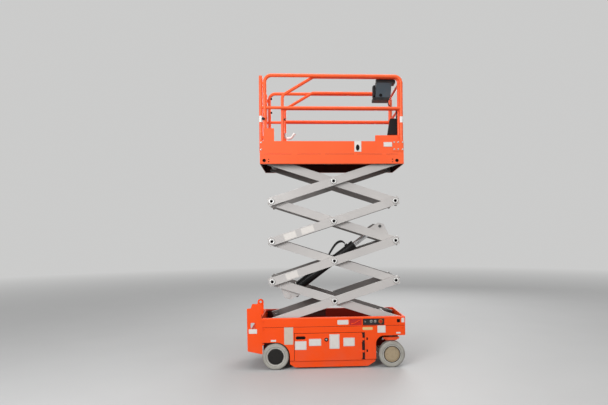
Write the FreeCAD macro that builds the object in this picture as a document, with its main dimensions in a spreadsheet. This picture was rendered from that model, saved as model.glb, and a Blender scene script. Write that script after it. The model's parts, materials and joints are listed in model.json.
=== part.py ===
import FreeCAD
import Part
import os
import re
import Sketcher

# Compact electric slab scissor lift, standing level with its platform part raised.
# Millimetres. X points to the steered wheels, Y to the far side, Z up.
# The ground is Z = 0 and the origin is the middle of the footprint.

SIZES = {
    # chassis
    "half_width": 380,
    "rear_over": 115.6,
    "front_over": 89.5,
    "chassis_bottom": 104,
    "chassis_top": 597,
    "edge_r": 10,
    "edge_bevel": 8,
    "well_floor": 455,
    "side_wall": 40,
    "front_wall": 20,
    "skin_thick": 20,
    "groove_drop": 106,
    "groove_high": 4,
    "groove_deep": 3,
    "cut_over": 5,
    "seat_gap": 0.3,
    "run_fit": 0.05,
    "hull_lap": 1,
    # arches and underside
    "rear_axle_in": 150,
    "front_axle_in": 156,
    "arch_clear": 12.5,
    "tyre_clear": 12,
    "front_arch_run": 188,
    "front_arch_gap": 29,
    "front_arch_r": 95,
    "spine_half": 118,
    "nose_in": 76,
    "nose_drop": 105,
    # recesses for the ground controls
    "panel_in": 495,
    "panel_long": 248,
    "panel_drop": 97,
    "panel_high": 72,
    "panel_deep": 8,
    "panel_plate": 5,
    "panel_margin": 4,
    "panel_tail": 22,
    "pocket_in": 653,
    "pocket_long": 146,
    "knob_drop": 56,
    "key_in": 96,
    "toggle_in": 143,
    "stop_in": 207,
    "knob_r": 11,
    "knob_out": 9,
    "toggle_r": 9,
    "toggle_out": 11,
    "stop_r": 17,
    "stop_out": 14,
    # wheels
    "wheel_r": 152.5,
    "tyre_wide": 100,
    "tyre_round": 16,
    "bead_wide": 12,
    "bead_deep": 4,
    "rim_r": 100,
    "rim_inset": 8,
    "axle_r": 16,
    "axle_reach": 54,
    "bore_deep": 58,
    "cap_r": 84,
    "cap_lip": 5,
    "disc_r": 76,
    "dish_deep": 12,
    # drive and steering
    "motor_r": 62,
    "motor_long": 124,
    "motor_nose": 6,
    "motor_step": 8,
    "gear_long": 50,
    "beam_half": 40,
    "beam_lap": 20,
    "hanger_in": 60,
    "hanger_thick": 30,
    "king_in": 80,
    "king_r": 22,
    "king_clear": 6,
    "fork_clear": 27,
    "fork_thick": 15,
    "fork_wide": 128,
    "fork_in": 30,
    "fork_front": 90,
    "fork_rear": 100,
    "fork_round": 14,
    "cheek_half": 35,
    "cheek_thick": 16,
    "cheek_clear": 18,
    "cheek_drop": 50,
    "skirt_drop": 20,
    "skirt_thick": 8,
    "skirt_slope": 30,
    "steer_arm": 85,
    "steer_in": 175,
    "steer_drop": 27,
    "tie_r": 12,
    "tie_end_r": 15,
    "tie_end_high": 32,
    "tie_room": 10,
    "ram_r": 24,
    "ram_in": 43,
    "ram_saddle_in": 25,
    "carrier_half": 58,
    "carrier_thick": 13,
    "carrier_boss_r": 34,
    "carrier_drop": 26,
    # doors, trays and guards
    "door_rear_in": 49,
    "door_front_in": 160,
    "door_drop": 6,
    "door_top_gap": 35,
    "door_thick": 6,
    "door_gap": 5,
    "door_round": 8,
    "bay_inner_y": 66,
    "pull_in": 19,
    "pull_long": 114,
    "pull_drop": 36,
    "pull_high": 36,
    "lock_in": 373,
    "lock_drop": 78,
    "lock_r": 24,
    "lock_out": 4,
    "tray_rear_in": 81,
    "tray_front_in": 14,
    "tray_inner_gap": 30,
    "tray_wall": 6,
    "tray_lift": 8,
    "tray_high": 180,
    "battery_gap": 54,
    "hinge_front": 14,
    "hinge_out": 7,
    "hinge_r": 6.5,
    "hinge_pin_r": 4,
    "hinge_play": 2,
    "leaf_thick": 3.5,
    "leaf_wide": 34,
    "leaf_relief": 0.4,
    "hinge_inset": 22,
    "guard_low": 21,
    "guard_tube_r": 7,
    "guard_thick": 4,
    "guard_in": 19,
    "guard_front_in": 8,
    "guard_toe_rear": 61,
    "guard_toe_front": 86,
    "guard_heel": 38,
    "guard_nose": 54,
    # scissor
    "pin_front_x": 826.5,
    "base_pin_high": 87,
    "arm_length": 1530,
    "arm_angle": 17.9,
    "full_angle": 55.8,
    "arm_high": 96,
    "arm_thick": 40,
    "arm_wall": 6,
    "arm_over": 41,
    "arm_gap": 10,
    "arm_inset": 28,
    "pin_r": 17,
    "boss_r": 36,
    "head_r": 33,
    "head_thick": 6,
    "socket_r": 16,
    "socket_deep": 5,
    "collar_r": 31,
    "pin_short": 2,
    "cross_r": 28,
    "first_tie": 120,
    "roller_r": 28,
    "top_roller_r": 32,
    "roller_edge": 2,
    "rail_web": 4,
    "rail_flange": 8,
    "rail_spare": 13.5,
    "cheek_plate": 12,
    "cheek_wide": 45,
    "cheek_over": 38,
    "cheek_slack": 2,
    "pin_proud": 4,
    # lift cylinder
    "cyl_low_in": 229,
    "cyl_low_n": -112.3,
    "cyl_high_u": 217.6,
    "cyl_high_n": 112.6,
    "barrel_r": 52,
    "barrel_length": 1008,
    "barrel_cap": 24,
    "gland_r": 56,
    "gland_long": 44,
    "port_half": 18,
    "port_wide": 64,
    "port_high": 66,
    "port_in": 40,
    "rod_r": 30,
    "rod_inside": 698,
    "rod_neck_r": 25,
    "rod_neck": 70,
    "bore_start": 80,
    "eye_r": 34,
    "eye_wide": 70,
    "cyl_pin_r": 20,
    "gusset_thick": 16,
    "gusset_grip": 18,
    "gusset_rear": 150,
    "gusset_front": 130,
    "gusset_foot": 36,
    "gusset_round": 22,
    "filler_thick": 6,
    "mount_boss_r": 27,
    "side_slack": 6,
    "prop_near": 129,
    "prop_far": 63,
    "prop_drop": 34,
    "hose_r": 6.5,
    "hose_y": 8,
    "hose_pair_y": 24,
    "hose_nest": 10,
    "hose_bend": 52,
    "hose_leave": 40,
    "hose_lean": 2,
    "hose_turn_in": 30,
    "hose_turn_up": 77,
    "hose_crest_in": 88,
    "hose_crest_up": 84,
    "hose_fall_in": 184,
    "hose_fall_up": 52,
    "hose_meet_in": 304,
    "hose_meet_over": 3,
    "hose_rest_in": 544,
    # steps and the lashing lug at the rear
    "step_long": 175,
    "step_plate": 10,
    "step_gap": 12,
    "step_low": 223,
    "step_foot": 185,
    "step_round": 12,
    "step_first": 257,
    "step_pitch": 170,
    "step_sheet": 8,
    "step_lip": 30,
    "side_over": 170,
    "side_back": 12,
    "shoulder_run": 60,
    "notch_run": 47,
    "notch_drop": 48,
    "corner_drop": 55,
    "far_run": 34,
    "far_drop": 46,
    "lug_back": 54,
    "lug_over": 145,
    "lug_r": 36,
    "lug_hole_r": 15,
    "lug_pad_r": 27,
    "lug_pad": 4,
    "lug_thick": 14,
    "lug_foot": 84,
    "lug_toe": 40,
    "grip_rear": 41,
    "grip_front": 97,
    "grip_low": 480,
    "grip_top": 550,
    "grip_round": 16,
    # platform
    "deck_rear_over": 10,
    "deck_front_over": 4,
    "deck_in": 8,
    "deck_under": 43,
    "deck_over": 75,
    "toe_high": 147,
    "crease_step": 2,
    "panel_thick": 4,
    "floor_thick": 6,
    "lip_wide": 24,
    "tab_in": 54,
    "tab_long": 112,
    "tab_high": 294,
    "tab_round": 8,
    "port_rear_in": 50,
    "port_front_in": 80,
    "port_up": 39,
    "port_hole_r": 20,
    "bolt_hole_r": 7,
    "bolt_hole_x": 52,
    "bolt_hole_z": 14,
    "rib_in": 195,
    "rib_pitch": 190,
    "rib_thick": 6,
    "rib_drop": 38,
    "rib_short": 44,
    # rails
    "rail_high": 914,
    "mid_high": 539,
    "rail_r": 20,
    "mid_r": 17,
    "bend_r": 80,
    "bow_in": 61,
    "post_in": 14,
    "post_front_in": 20,
    "post_short": 9,
    "post_lift": 17,
    "clip_drop": 112,
    "clip_rise": 30,
    "clip_high": 34,
    "clip_half": 9,
    # sliding extension
    "ext_in": 52,
    "ext_rear_in": 240,
    "ext_front_in": 8,
    "ext_sheet": 6,
    "ext_rail_r": 18,
    "ext_toe_high": 122,
    "ext_panel_high": 227,
    "ext_panel_long": 320,
    "ext_panel_lean": 28,
    "ext_panel_step": 60,
    "ext_post_rear_in": 21,
    "ext_post_front_in": 32,
    "ext_diag_drop": 218,
    "ext_diag_run": 362,
    "ext_bend": 60,
    "nose_board": 5,
    # gate
    "gate_in": 58,
    "gate_post_r": 16,
    "gate_reach": 34,
    "gate_r": 12,
    "gate_drop": 60,
    "gate_bend": 50,
    "gate_lift": 12,
    "gate_over": 30,
    "sleeve_high": 50,
    "sleeve_wall": 5,
    "kick_thick": 4,
    "end_bar_r": 13,
    # controls on the platform
    "box_in": 304,
    "box_long": 194,
    "box_drop": 53,
    "box_high": 173,
    "box_deep": 120,
    "box_lean": 14,
    "box_round": 8,
    "lid_in": 14,
    "lid_long": 224,
    "lid_thick": 34,
    "base_in": 29,
    "base_step": 28,
    "base_high": 34,
    "base_lip": 6,
    "stick_r": 14,
    "stick_in": 14,
    "stick_neck_r": 6,
    "stick_high": 149,
    "grip_high": 80,
    "boot_high": 26,
    "hook_in": 60,
    "hook_wide": 60,
    "hook_thick": 7,
    "folder_in": 160,
    "folder_up": 246,
    "folder_high": 190,
    "folder_deep": 62,
    "folder_lean": 30,
    "handle_r": 10,
    "handle_in": 71,
    "handle_back": 47.7,
    "handle_up": 202,
    "handle_rise": 54,
    "handle_run": 42,
}

DERIVED = {
    # scissor geometry with the platform part raised
    "stage_rise": "=arm_length * sin(arm_angle)",
    "arm_span": "=arm_length * cos(arm_angle)",
    "pin_base_z": "=well_floor + base_pin_high",
    "pin_rear_x": "=pin_front_x - arm_span",
    "top_pin_z": "=pin_base_z + 4 * stage_rise",
    "well_half": "=half_width - side_wall",
    "outer_face": "=well_half - arm_inset",
    "inner_face": "=outer_face - arm_thick - arm_gap",
    "inner_back": "=inner_face - arm_thick",
    "head_face": "=outer_face + head_thick",
    "rail_front": "=pin_front_x - arm_length * cos(full_angle) + top_roller_r + rail_spare",
    # chassis
    "chassis_rear": "=pin_rear_x - rear_over",
    "chassis_front": "=pin_front_x + front_over",
    "rear_axle_x": "=chassis_rear + rear_axle_in",
    "front_axle_x": "=chassis_front - front_axle_in",
    "rear_arch_r": "=wheel_r + arch_clear",
    "rear_arch_x": "=rear_axle_x + rear_arch_r",
    "rear_arch_z": "=wheel_r + rear_arch_r",
    "arch_inner_y": "=half_width - tyre_wide - tyre_clear",
    "tyre_y": "=half_width - tyre_wide",
    "fork_z": "=2 * wheel_r + fork_clear",
    "front_arch_x": "=front_axle_x - front_arch_run",
    "front_arch_z": "=fork_z + fork_thick + front_arch_gap",
    "nose_front": "=chassis_front - nose_in",
    "steer_x": "=front_axle_x - steer_arm",
    "steer_z": "=fork_z - steer_drop",
    "nose_bottom": "=steer_z - nose_drop",
    "groove_z": "=chassis_top - groove_drop",
    "panel_rear": "=chassis_front - panel_in",
    "panel_front": "=panel_rear + panel_long",
    "panel_low": "=chassis_top - panel_drop",
    "panel_top": "=panel_low + panel_high",
    "panel_back": "=-half_width + panel_deep - seat_gap",
    "pocket_rear": "=chassis_front - pocket_in",
    "knob_z": "=chassis_top - knob_drop",
    # drive and steering
    "motor_out_y": "=arch_inner_y + motor_nose",
    "motor_in_y": "=motor_out_y - motor_long",
    "axle_out_y": "=tyre_y + axle_reach",
    "king_y": "=half_width - king_in",
    "fork_out_y": "=half_width - fork_in",
    "fork_in_y": "=fork_out_y - fork_wide",
    "cheek_y": "=tyre_y - cheek_clear",
    "steer_in_y": "=half_width - steer_in",
    "ram_half": "=spine_half - ram_in",
    # doors, trays and guards
    "door_rear": "=rear_arch_x + door_rear_in",
    "door_front": "=front_arch_x - door_front_in",
    "door_low": "=chassis_bottom - door_drop",
    "door_high": "=well_floor - door_top_gap",
    "pull_rear": "=door_rear + pull_in",
    "pull_front": "=pull_rear + pull_long",
    "pull_top": "=door_high - pull_drop",
    "pull_low": "=pull_top - pull_high",
    "pull_round": "=pull_high / 2 - 1",
    "lock_x": "=door_rear + lock_in",
    "lock_z": "=door_high - lock_drop",
    "tray_rear": "=door_rear + tray_rear_in",
    "tray_front": "=door_front - tray_front_in",
    "tray_in_y": "=bay_inner_y + tray_inner_gap",
    "tray_low": "=chassis_bottom + tray_lift",
    "hinge_x": "=door_front + hinge_front",
    "hinge_y": "=half_width + hinge_out",
    "hinge_third": "=(door_high - door_low - 2 * hinge_inset) / 3",
    "guard_y": "=half_width - guard_in",
    "guard_z": "=chassis_bottom - seat_gap - guard_tube_r",
    "guard_rear": "=rear_arch_x",
    "guard_front": "=front_arch_x - guard_front_in",
    # steps
    "step_front": "=chassis_rear - step_gap",
    "step_rear": "=chassis_rear - step_long",
    "lug_x": "=chassis_rear - lug_back",
    "lug_z": "=chassis_top + lug_over",
    # lift cylinder
    "cyl_low_u": "=arm_length - cyl_low_in",
    "port_x": "=barrel_length - gland_long - port_in",
    "cyl_run": "=(cyl_low_u - cyl_high_u) * cos(arm_angle) + (cyl_high_n - cyl_low_n) * sin(arm_angle)",
    "cyl_rise": "=(2 * arm_length + cyl_high_u - cyl_low_u) * sin(arm_angle)"
                " + (cyl_high_n - cyl_low_n) * cos(arm_angle)",
    "cyl_angle": "=atan(cyl_rise / cyl_run)",
    "cyl_length": "=sqrt(cyl_run ^ 2 + cyl_rise ^ 2)",
    "prop_n": "=cyl_low_n - prop_drop",
    # platform
    "deck_rear": "=chassis_rear - deck_rear_over",
    "deck_front": "=chassis_front + deck_front_over",
    "deck_half": "=half_width - deck_in",
    "deck_low": "=top_pin_z - deck_under",
    "deck_floor": "=top_pin_z + deck_over",
    "floor_under": "=deck_floor - floor_thick",
    "toe_top": "=deck_floor + toe_high",
    "tab_rear": "=deck_rear + tab_in",
    "port_rear_x": "=deck_rear + port_rear_in",
    "port_front_x": "=deck_front - port_front_in",
    "port_z": "=deck_low + port_up",
    # rails
    "rail_top": "=deck_floor + rail_high",
    "rail_mid": "=deck_floor + mid_high",
    "rail_y": "=deck_half - crease_step - panel_thick - seat_gap - rail_r",
    "bow_rear": "=deck_rear + bow_in",
    "post_rear": "=deck_rear + post_in",
    "post_front": "=deck_front - post_front_in",
    "post_top": "=rail_top - post_short",
    "post_foot": "=deck_floor + post_lift",
    # sliding extension
    "ext_half": "=deck_half - ext_in",
    "ext_rear": "=deck_rear + ext_rear_in",
    "ext_front": "=deck_front - ext_front_in",
    "ext_floor": "=deck_floor + seat_gap",
    "ext_top": "=ext_floor + ext_sheet",
    "ext_rail_y": "=ext_half - panel_thick - seat_gap - ext_rail_r",
    "ext_post_rear": "=ext_rear + ext_post_rear_in",
    "ext_post_front": "=ext_front - ext_post_front_in",
    # gate
    "gate_post_y": "=ext_half - gate_in",
    "gate_half": "=gate_post_y - gate_reach",
    "gate_top": "=rail_top - gate_drop",
    "gate_low": "=toe_top + gate_over",
    # controls on the platform
    "box_out_y": "=ext_rail_y - ext_rail_r - seat_gap",
    "box_rear": "=ext_front - box_in",
    "box_front": "=box_rear + box_long",
    "box_top": "=rail_top - box_drop",
    "box_low": "=box_top - box_high",
    "lid_rear": "=box_rear + lid_in",
    "base_rear": "=box_rear - base_in",
    "base_low": "=box_low - base_high",
    "hook_z": "=rail_top + ext_rail_r + seat_gap",
    "folder_rear": "=ext_front - folder_in",
    "folder_low": "=deck_floor + folder_up",
    "folder_top": "=folder_low + folder_high",
    "handle_x": "=ext_rear + handle_in",
    "handle_y": "=ext_rail_y - handle_back",
    "handle_z": "=deck_floor + handle_up",
}

RIBS = 5

DOC = FreeCAD.newDocument("scissor_lift")
SHEET = DOC.addObject("Spreadsheet::Sheet", "dims")
TRIAL = DOC.addObject("Spreadsheet::Sheet", "trial")
for row, (alias, value) in enumerate({**SIZES, **DERIVED}.items(), start=1):
    SHEET.set("A%d" % row, alias)
    SHEET.set("B%d" % row, str(value))
    SHEET.setAlias("B%d" % row, alias)
DOC.recompute()

NODES = []
COUNT = {}
FROM_Z = {
    "x": FreeCAD.Rotation(FreeCAD.Vector(0, 1, 0), 90),
    "y": FreeCAD.Rotation(FreeCAD.Vector(1, 0, 0), -90),
    "z": FreeCAD.Rotation(),
}
FROM_Y = {
    "x": FreeCAD.Rotation(FreeCAD.Vector(0, 0, 1), -90),
    "y": FreeCAD.Rotation(),
    "z": FreeCAD.Rotation(FreeCAD.Vector(1, 0, 0), 90),
}
PLANES = {
    "xz": (FreeCAD.Rotation(FreeCAD.Vector(1, 0, 0), 90), "y", FreeCAD.Vector(0, 1, 0)),
    "xy": (FreeCAD.Rotation(), "z", FreeCAD.Vector(0, 0, 1)),
    "yz": (FreeCAD.Rotation(FreeCAD.Vector(1, 1, 1), 120), "x", FreeCAD.Vector(1, 0, 0)),
}


def sized(text):
    """Point every size name in a formula at the sheet."""
    return re.sub(r"\b([a-z]+(?:_[a-z0-9]+)+)\b", r"dims.\1", str(text))


def worth(texts):
    """The numbers that formulas stand for now."""
    for row, text in enumerate(texts, start=1):
        TRIAL.set("A%d" % row, "=" + sized(text))
    TRIAL.recompute()
    return [float(TRIAL.get("A%d" % row)) for row in range(1, len(texts) + 1)]


def fresh(kind, name):
    """Make a document object with a numbered name."""
    COUNT[name] = COUNT.get(name, 0) + 1
    return DOC.addObject(kind, "%s_%d" % (name, COUNT[name]))


def put(obj, at):
    """Bind the position of an object to three formulas."""
    for axis, text in zip("xyz", at):
        obj.setExpression("Placement.Base." + axis, sized(text))
    return obj


def span(x, y, z):
    """Block between two limits on every axis."""
    obj = fresh("Part::Box", "block")
    for prop, (low, high) in zip(("Length", "Width", "Height"), (x, y, z)):
        obj.setExpression(prop, sized("(%s) - (%s)" % (high, low)))
    return put(obj, (x[0], y[0], z[0]))


def cyl(radius, length, at, axis="z"):
    """Cylinder from a point along an axis."""
    obj = fresh("Part::Cylinder", "round")
    obj.setExpression("Radius", sized(radius))
    obj.setExpression("Height", sized(length))
    obj.Placement = FreeCAD.Placement(FreeCAD.Vector(), FROM_Z[axis])
    return put(obj, at)


def draw(points, closed, plane="xz", start="0"):
    """Sketch of straight lines through points; a third value rounds that corner."""
    turn, slot, way = PLANES[plane]
    sketch = fresh("Sketcher::SketchObject", "sketch")
    sketch.Placement = FreeCAD.Placement(FreeCAD.Vector(), turn)
    sketch.setExpression("Placement.Base." + slot, sized(start))
    count = len(points)
    edges = count if closed else count - 1
    flat = worth([text for point in points for text in point[:2]])
    spots = [FreeCAD.Vector(flat[2 * i], flat[2 * i + 1], 0) for i in range(count)]
    for i in range(edges):
        sketch.addGeometry(Part.LineSegment(spots[i], spots[(i + 1) % count]), False)
    for i in range(edges if closed else edges - 1):
        sketch.addConstraint(Sketcher.Constraint("Coincident", i, 2, (i + 1) % count, 1))
    for i, point in enumerate(points):
        line, end = (i, 1) if i < edges else (i - 1, 2)
        for kind, text, now in (("DistanceX", point[0], spots[i].x), ("DistanceY", point[1], spots[i].y)):
            index = sketch.addConstraint(Sketcher.Constraint(kind, -1, 1, line, end, now))
            sketch.setExpression("Constraints[%d]" % index, sized(text))
    sketch.recompute()
    for i, point in enumerate(points):
        if len(point) > 2:
            radius = worth([point[2]])[0]
            sketch.fillet((i - 1) % count, 2, radius, True, True)
            arcs = [g for g in range(sketch.GeometryCount)
                    if isinstance(sketch.Geometry[g], Part.ArcOfCircle)]
            index = sketch.addConstraint(Sketcher.Constraint("Radius", arcs[-1], radius))
            sketch.setExpression("Constraints[%d]" % index, sized(point[2]))
    sketch.recompute()
    return sketch


def slab(points, start, depth, plane="xz"):
    """Plate with a drawn outline."""
    obj = fresh("Part::Extrusion", "slab")
    obj.Base = draw(points, True, plane, start)
    obj.DirMode = "Custom"
    obj.Dir = PLANES[plane][2]
    obj.setExpression("LengthFwd", sized(depth))
    obj.Solid = True
    return obj


def turned(points, at, axis="y", side=1):
    """Turned piece: points are a radius and a distance along the axis."""
    obj = fresh("Part::Revolution", "turned")
    obj.Source = draw([(p[0], "%d * (%s)" % (side, p[1])) + tuple(p[2:]) for p in points], True, "xy")
    obj.Axis = FreeCAD.Vector(0, 1, 0)
    obj.Base = FreeCAD.Vector()
    obj.Angle = 360
    obj.Solid = True
    obj.Placement = FreeCAD.Placement(FreeCAD.Vector(), FROM_Y[axis])
    return put(obj, at)


def tube(points, radius, start, plane="xz", first="z"):
    """Round bar bent along a drawn path; first is the axis its first length follows."""
    path = draw(points, False, plane, start)
    ring = fresh("Part::Circle", "ring")
    ring.setExpression("Radius", sized(radius))
    ring.Placement = FreeCAD.Placement(FreeCAD.Vector(), FROM_Z[first])
    across, up = points[0][:2]
    spots = {"xz": (across, start, up), "yz": (start, across, up), "xy": (across, up, start)}
    put(ring, spots[plane])
    obj = fresh("Part::Sweep", "tube")
    obj.Sections = [ring]
    obj.Spine = (path, ["Edge%d" % (i + 1) for i in range(len(path.Shape.Edges))])
    obj.Solid = True
    return obj


def join(*pieces):
    """One object of several pieces."""
    obj = fresh("Part::MultiFuse", "joined")
    obj.Shapes = list(pieces)
    obj.Refine = True
    return obj


def less(base, *tools):
    """A piece with others taken away."""
    obj = fresh("Part::Cut", "cut")
    obj.Base = base
    obj.Tool = tools[0] if len(tools) == 1 else join(*tools)
    obj.Refine = True
    return obj


def node(name, obj, at=None, turn=None):
    """Name a finished sub-part, placing it and tilting it about Y when asked."""
    if turn is not None:
        obj.Placement = FreeCAD.Placement(
            FreeCAD.Vector(), FreeCAD.Rotation(FreeCAD.Vector(0, 1, 0), 1))
        obj.setExpression("Placement.Rotation.Angle", sized(turn))
    if at is not None:
        put(obj, at)
    obj.Label = name
    NODES.append(obj)
    return obj


def both(make):
    """The same piece on the near side and on the far side."""
    return [make(side) for side in (-1, 1)]


def wall(side, low, high):
    """Y limits of a layer between two distances from the middle, on one side."""
    if side < 0:
        return "-(%s)" % high, "-(%s)" % low
    return str(low), str(high)


def at_side(side, distance):
    """Y of a distance from the middle, on one side."""
    return "%d * (%s)" % (side, distance)


# Chassis: a long body with a well on top, bays behind the doors and an open underside
body = slab((
    ("chassis_rear", "rear_arch_z"),
    ("rear_arch_x", "rear_arch_z", "rear_arch_r"),
    ("rear_arch_x", "chassis_bottom"),
    ("front_arch_x", "chassis_bottom"),
    ("front_arch_x", "front_arch_z", "front_arch_r"),
    ("chassis_front", "front_arch_z", "edge_r"),
    ("chassis_front", "chassis_top", "edge_r"),
    ("chassis_rear", "chassis_top"),
), "-half_width", "2 * half_width")
rear_body = span(("chassis_rear", "rear_arch_x + hull_lap"), ("-arch_inner_y", "arch_inner_y"),
                 ("chassis_bottom", "rear_arch_z + hull_lap"))
nose = span(("front_arch_x - hull_lap", "nose_front"), ("-spine_half", "spine_half"),
            ("nose_bottom", "front_arch_z + hull_lap"))


def side_bay(side):
    """Room for a swing-out tray."""
    y = wall(side, "bay_inner_y", "half_width + cut_over")
    return span(("door_rear", "door_front"), y, ("0", "door_high"))


def groove(side):
    """Fold line along the side."""
    y = wall(side, "half_width - groove_deep", "half_width + cut_over")
    return span(("chassis_rear - cut_over", "chassis_front + cut_over"), y,
                ("groove_z - groove_high / 2", "groove_z + groove_high / 2"))


def top_bevel(side):
    """Bevel along the upper outer edge."""
    return slab((
        (at_side(side, "half_width + hull_lap"), "chassis_top - edge_bevel - hull_lap"),
        (at_side(side, "half_width + hull_lap"), "chassis_top + hull_lap"),
        (at_side(side, "half_width - edge_bevel - hull_lap"), "chassis_top + hull_lap"),
    ), "chassis_rear - cut_over", "chassis_front - chassis_rear + 2 * cut_over", "yz")


def motor_hole(side):
    """Opening in the inner wall that a drive motor passes."""
    y = wall(side, "arch_inner_y - skin_thick - cut_over", "arch_inner_y + cut_over")
    return cyl("motor_r + seat_gap", "skin_thick + 2 * cut_over", ("rear_axle_x", y[0], "wheel_r"), "y")


def fixed_leaf(side):
    """Middle knuckle and leaf of a door's hinge, fast on the chassis."""
    low = "door_low + hinge_inset + hinge_third + hinge_play"
    high = "door_high - hinge_inset - hinge_third - hinge_play"
    length = "hinge_third - 2 * hinge_play"
    y = wall(side, "half_width - hull_lap", "half_width + leaf_thick")
    leaf = span(("hinge_x", "hinge_x + leaf_wide"), y, (low, high))
    barrel = cyl("hinge_r", length, ("hinge_x", at_side(side, "hinge_y"), low))
    hole = cyl("hinge_pin_r + run_fit", length + " + 2 * hull_lap",
               ("hinge_x", at_side(side, "hinge_y"), low + " - hull_lap"))
    return less(join(leaf, barrel), hole)


well = span(("chassis_rear - cut_over", "chassis_front - front_wall"), ("-well_half", "well_half"),
            ("well_floor", "chassis_top + cut_over"))
rear_room = span(("chassis_rear + skin_thick", "rear_arch_x - skin_thick"),
                 ("-arch_inner_y + skin_thick", "arch_inner_y - skin_thick"),
                 ("0", "well_floor - skin_thick"))
mid_room = span(("door_front + skin_thick", "front_arch_x - skin_thick"),
                ("-half_width + skin_thick", "half_width - skin_thick"), ("0", "door_high"))
nose_room = span(("front_arch_x - skin_thick - hull_lap", "nose_front - skin_thick"),
                 ("-spine_half + skin_thick", "spine_half - skin_thick"), ("0", "front_arch_z"))
rod_slot = span(("steer_x - tie_end_r - tie_room", "steer_x + tie_end_r + tie_room"),
                ("-spine_half - cut_over", "spine_half + cut_over"),
                ("steer_z - tie_end_high / 2 - tie_room", "steer_z + tie_end_high / 2 + tie_room"))
pocket_y = ("-half_width - cut_over", "-half_width + panel_deep")
pocket_z = ("panel_low - panel_margin", "panel_top + panel_margin")
panel_pocket = span(("panel_rear - panel_margin", "panel_front + panel_tail"), pocket_y, pocket_z)
side_pocket = span(("pocket_rear", "pocket_rear + pocket_long"), pocket_y, pocket_z)
cuts = [well, rear_room, mid_room, nose_room, rod_slot, panel_pocket, side_pocket]
cuts += both(side_bay) + both(groove) + both(top_bevel) + both(motor_hole)
hollow = less(join(body, rear_body, nose), *cuts)
node("chassis_frame", join(hollow, *both(fixed_leaf)))


def pin_bracket(side):
    """Cheeks on the well floor that carry a fixed pin of the lowest arms."""
    shape = (
        ("pin_front_x - cheek_wide", "well_floor"),
        ("pin_front_x + cheek_wide", "well_floor"),
        ("pin_front_x + cheek_wide", "pin_base_z + cheek_over", "cheek_over"),
        ("pin_front_x - cheek_wide", "pin_base_z + cheek_over", "cheek_over"),
    )
    outboard = wall(side, "inner_face + cheek_slack", "inner_face + cheek_slack + cheek_plate")
    inboard = wall(side, "inner_back - cheek_slack - cheek_plate", "inner_back - cheek_slack")
    cheeks = [slab(shape, y[0], "cheek_plate") for y in (outboard, inboard)]
    y = wall(side, "inner_back - cheek_slack - cheek_plate - pin_proud",
             "inner_face + cheek_slack + cheek_plate + pin_proud")
    pin = cyl("pin_r", "arm_thick + 2 * (cheek_slack + cheek_plate + pin_proud)",
              ("pin_front_x", y[0], "pin_base_z"), "y")
    return join(pin, *cheeks)


node("pin_brackets", join(*both(pin_bracket)))


# Ground controls in the near side of the chassis
def knob(along, radius, out):
    """Button or key with a narrower stem, turned about an axis that points out of the side."""
    return turned((
        ("0", "0"),
        (radius + " * 0.7", "0"),
        (radius + " * 0.7", out + " * 0.4"),
        (radius, out + " * 0.55"),
        (radius, out, "2"),
        ("0", out),
    ), ("panel_rear + " + along, "panel_back - panel_plate + hull_lap", "knob_z"), "y", -1)


plate = span(("panel_rear", "panel_front"), ("panel_back - panel_plate", "panel_back"),
             ("panel_low", "panel_top"))
node("ground_controls", join(plate, knob("key_in", "knob_r", "knob_out"),
                             knob("toggle_in", "toggle_r", "toggle_out"),
                             knob("stop_in", "stop_r", "stop_out")))


def slide_rail(side):
    """Channel in the well that guides a roller of the lowest arms."""
    out, back, mouth = (at_side(side, text) for text in ("well_half", "well_half - rail_web", "head_face"))
    low, high = "pin_base_z - roller_r - seat_gap", "pin_base_z + roller_r + seat_gap"
    return slab((
        (out, low + " - rail_flange"),
        (mouth, low + " - rail_flange"),
        (mouth, low),
        (back, low),
        (back, high),
        (mouth, high),
        (mouth, high + " + rail_flange"),
        (out, high + " + rail_flange"),
    ), "chassis_rear", "rail_front - chassis_rear", "yz")


node("slide_rails", join(*both(slide_rail)))

# Steps across the rear end, with the lashing lug on the top one
STEP_FOOT = (
    ("step_rear + cut_over", "step_low", "step_round"),
    ("chassis_rear", "step_foot", "step_round / 2"),
)
NEAR_TOP = (
    ("chassis_rear", "chassis_top"),
    ("chassis_rear - side_back", "chassis_top"),
    ("chassis_rear - side_back", "chassis_top + side_over", "step_round"),
    ("step_rear + shoulder_run", "chassis_top + side_over", "step_round"),
    ("step_rear + notch_run", "chassis_top + side_over - notch_drop"),
    ("step_rear", "chassis_top + side_over - corner_drop"),
)
FAR_TOP = (
    ("chassis_rear", "chassis_top"),
    ("step_rear + far_run", "chassis_top"),
    ("step_rear", "chassis_top - far_drop"),
)


def step_side(side):
    """Side plate with its grip slot; the near one stands up above the chassis as a handhold."""
    y = wall(side, "half_width - step_plate", "half_width")
    plate = slab(STEP_FOOT + (NEAR_TOP if side < 0 else FAR_TOP), y[0], "step_plate")
    y = wall(side, "half_width - step_plate - hull_lap", "half_width + hull_lap")
    grip = slab((
        ("step_rear + grip_rear", "grip_low", "grip_round"),
        ("step_rear + grip_front", "grip_low", "grip_round"),
        ("step_rear + grip_front", "grip_top", "grip_round"),
        ("step_rear + grip_rear", "grip_top", "grip_round"),
    ), y[0], "step_plate + 2 * hull_lap")
    return less(plate, grip)


def tread(number):
    """Tread with a lip turned down at its edge."""
    top = "step_first + %d * step_pitch" % number
    edge = "step_rear + step_sheet"
    return slab((
        (edge, top + " - step_lip"),
        (edge, top, "step_sheet"),
        ("step_front", top),
        ("step_front", top + " - step_sheet"),
        (edge + " + step_sheet", top + " - step_sheet"),
        (edge + " + step_sheet", top + " - step_lip"),
    ), "-half_width + step_plate", "2 * (half_width - step_plate)")


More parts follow.
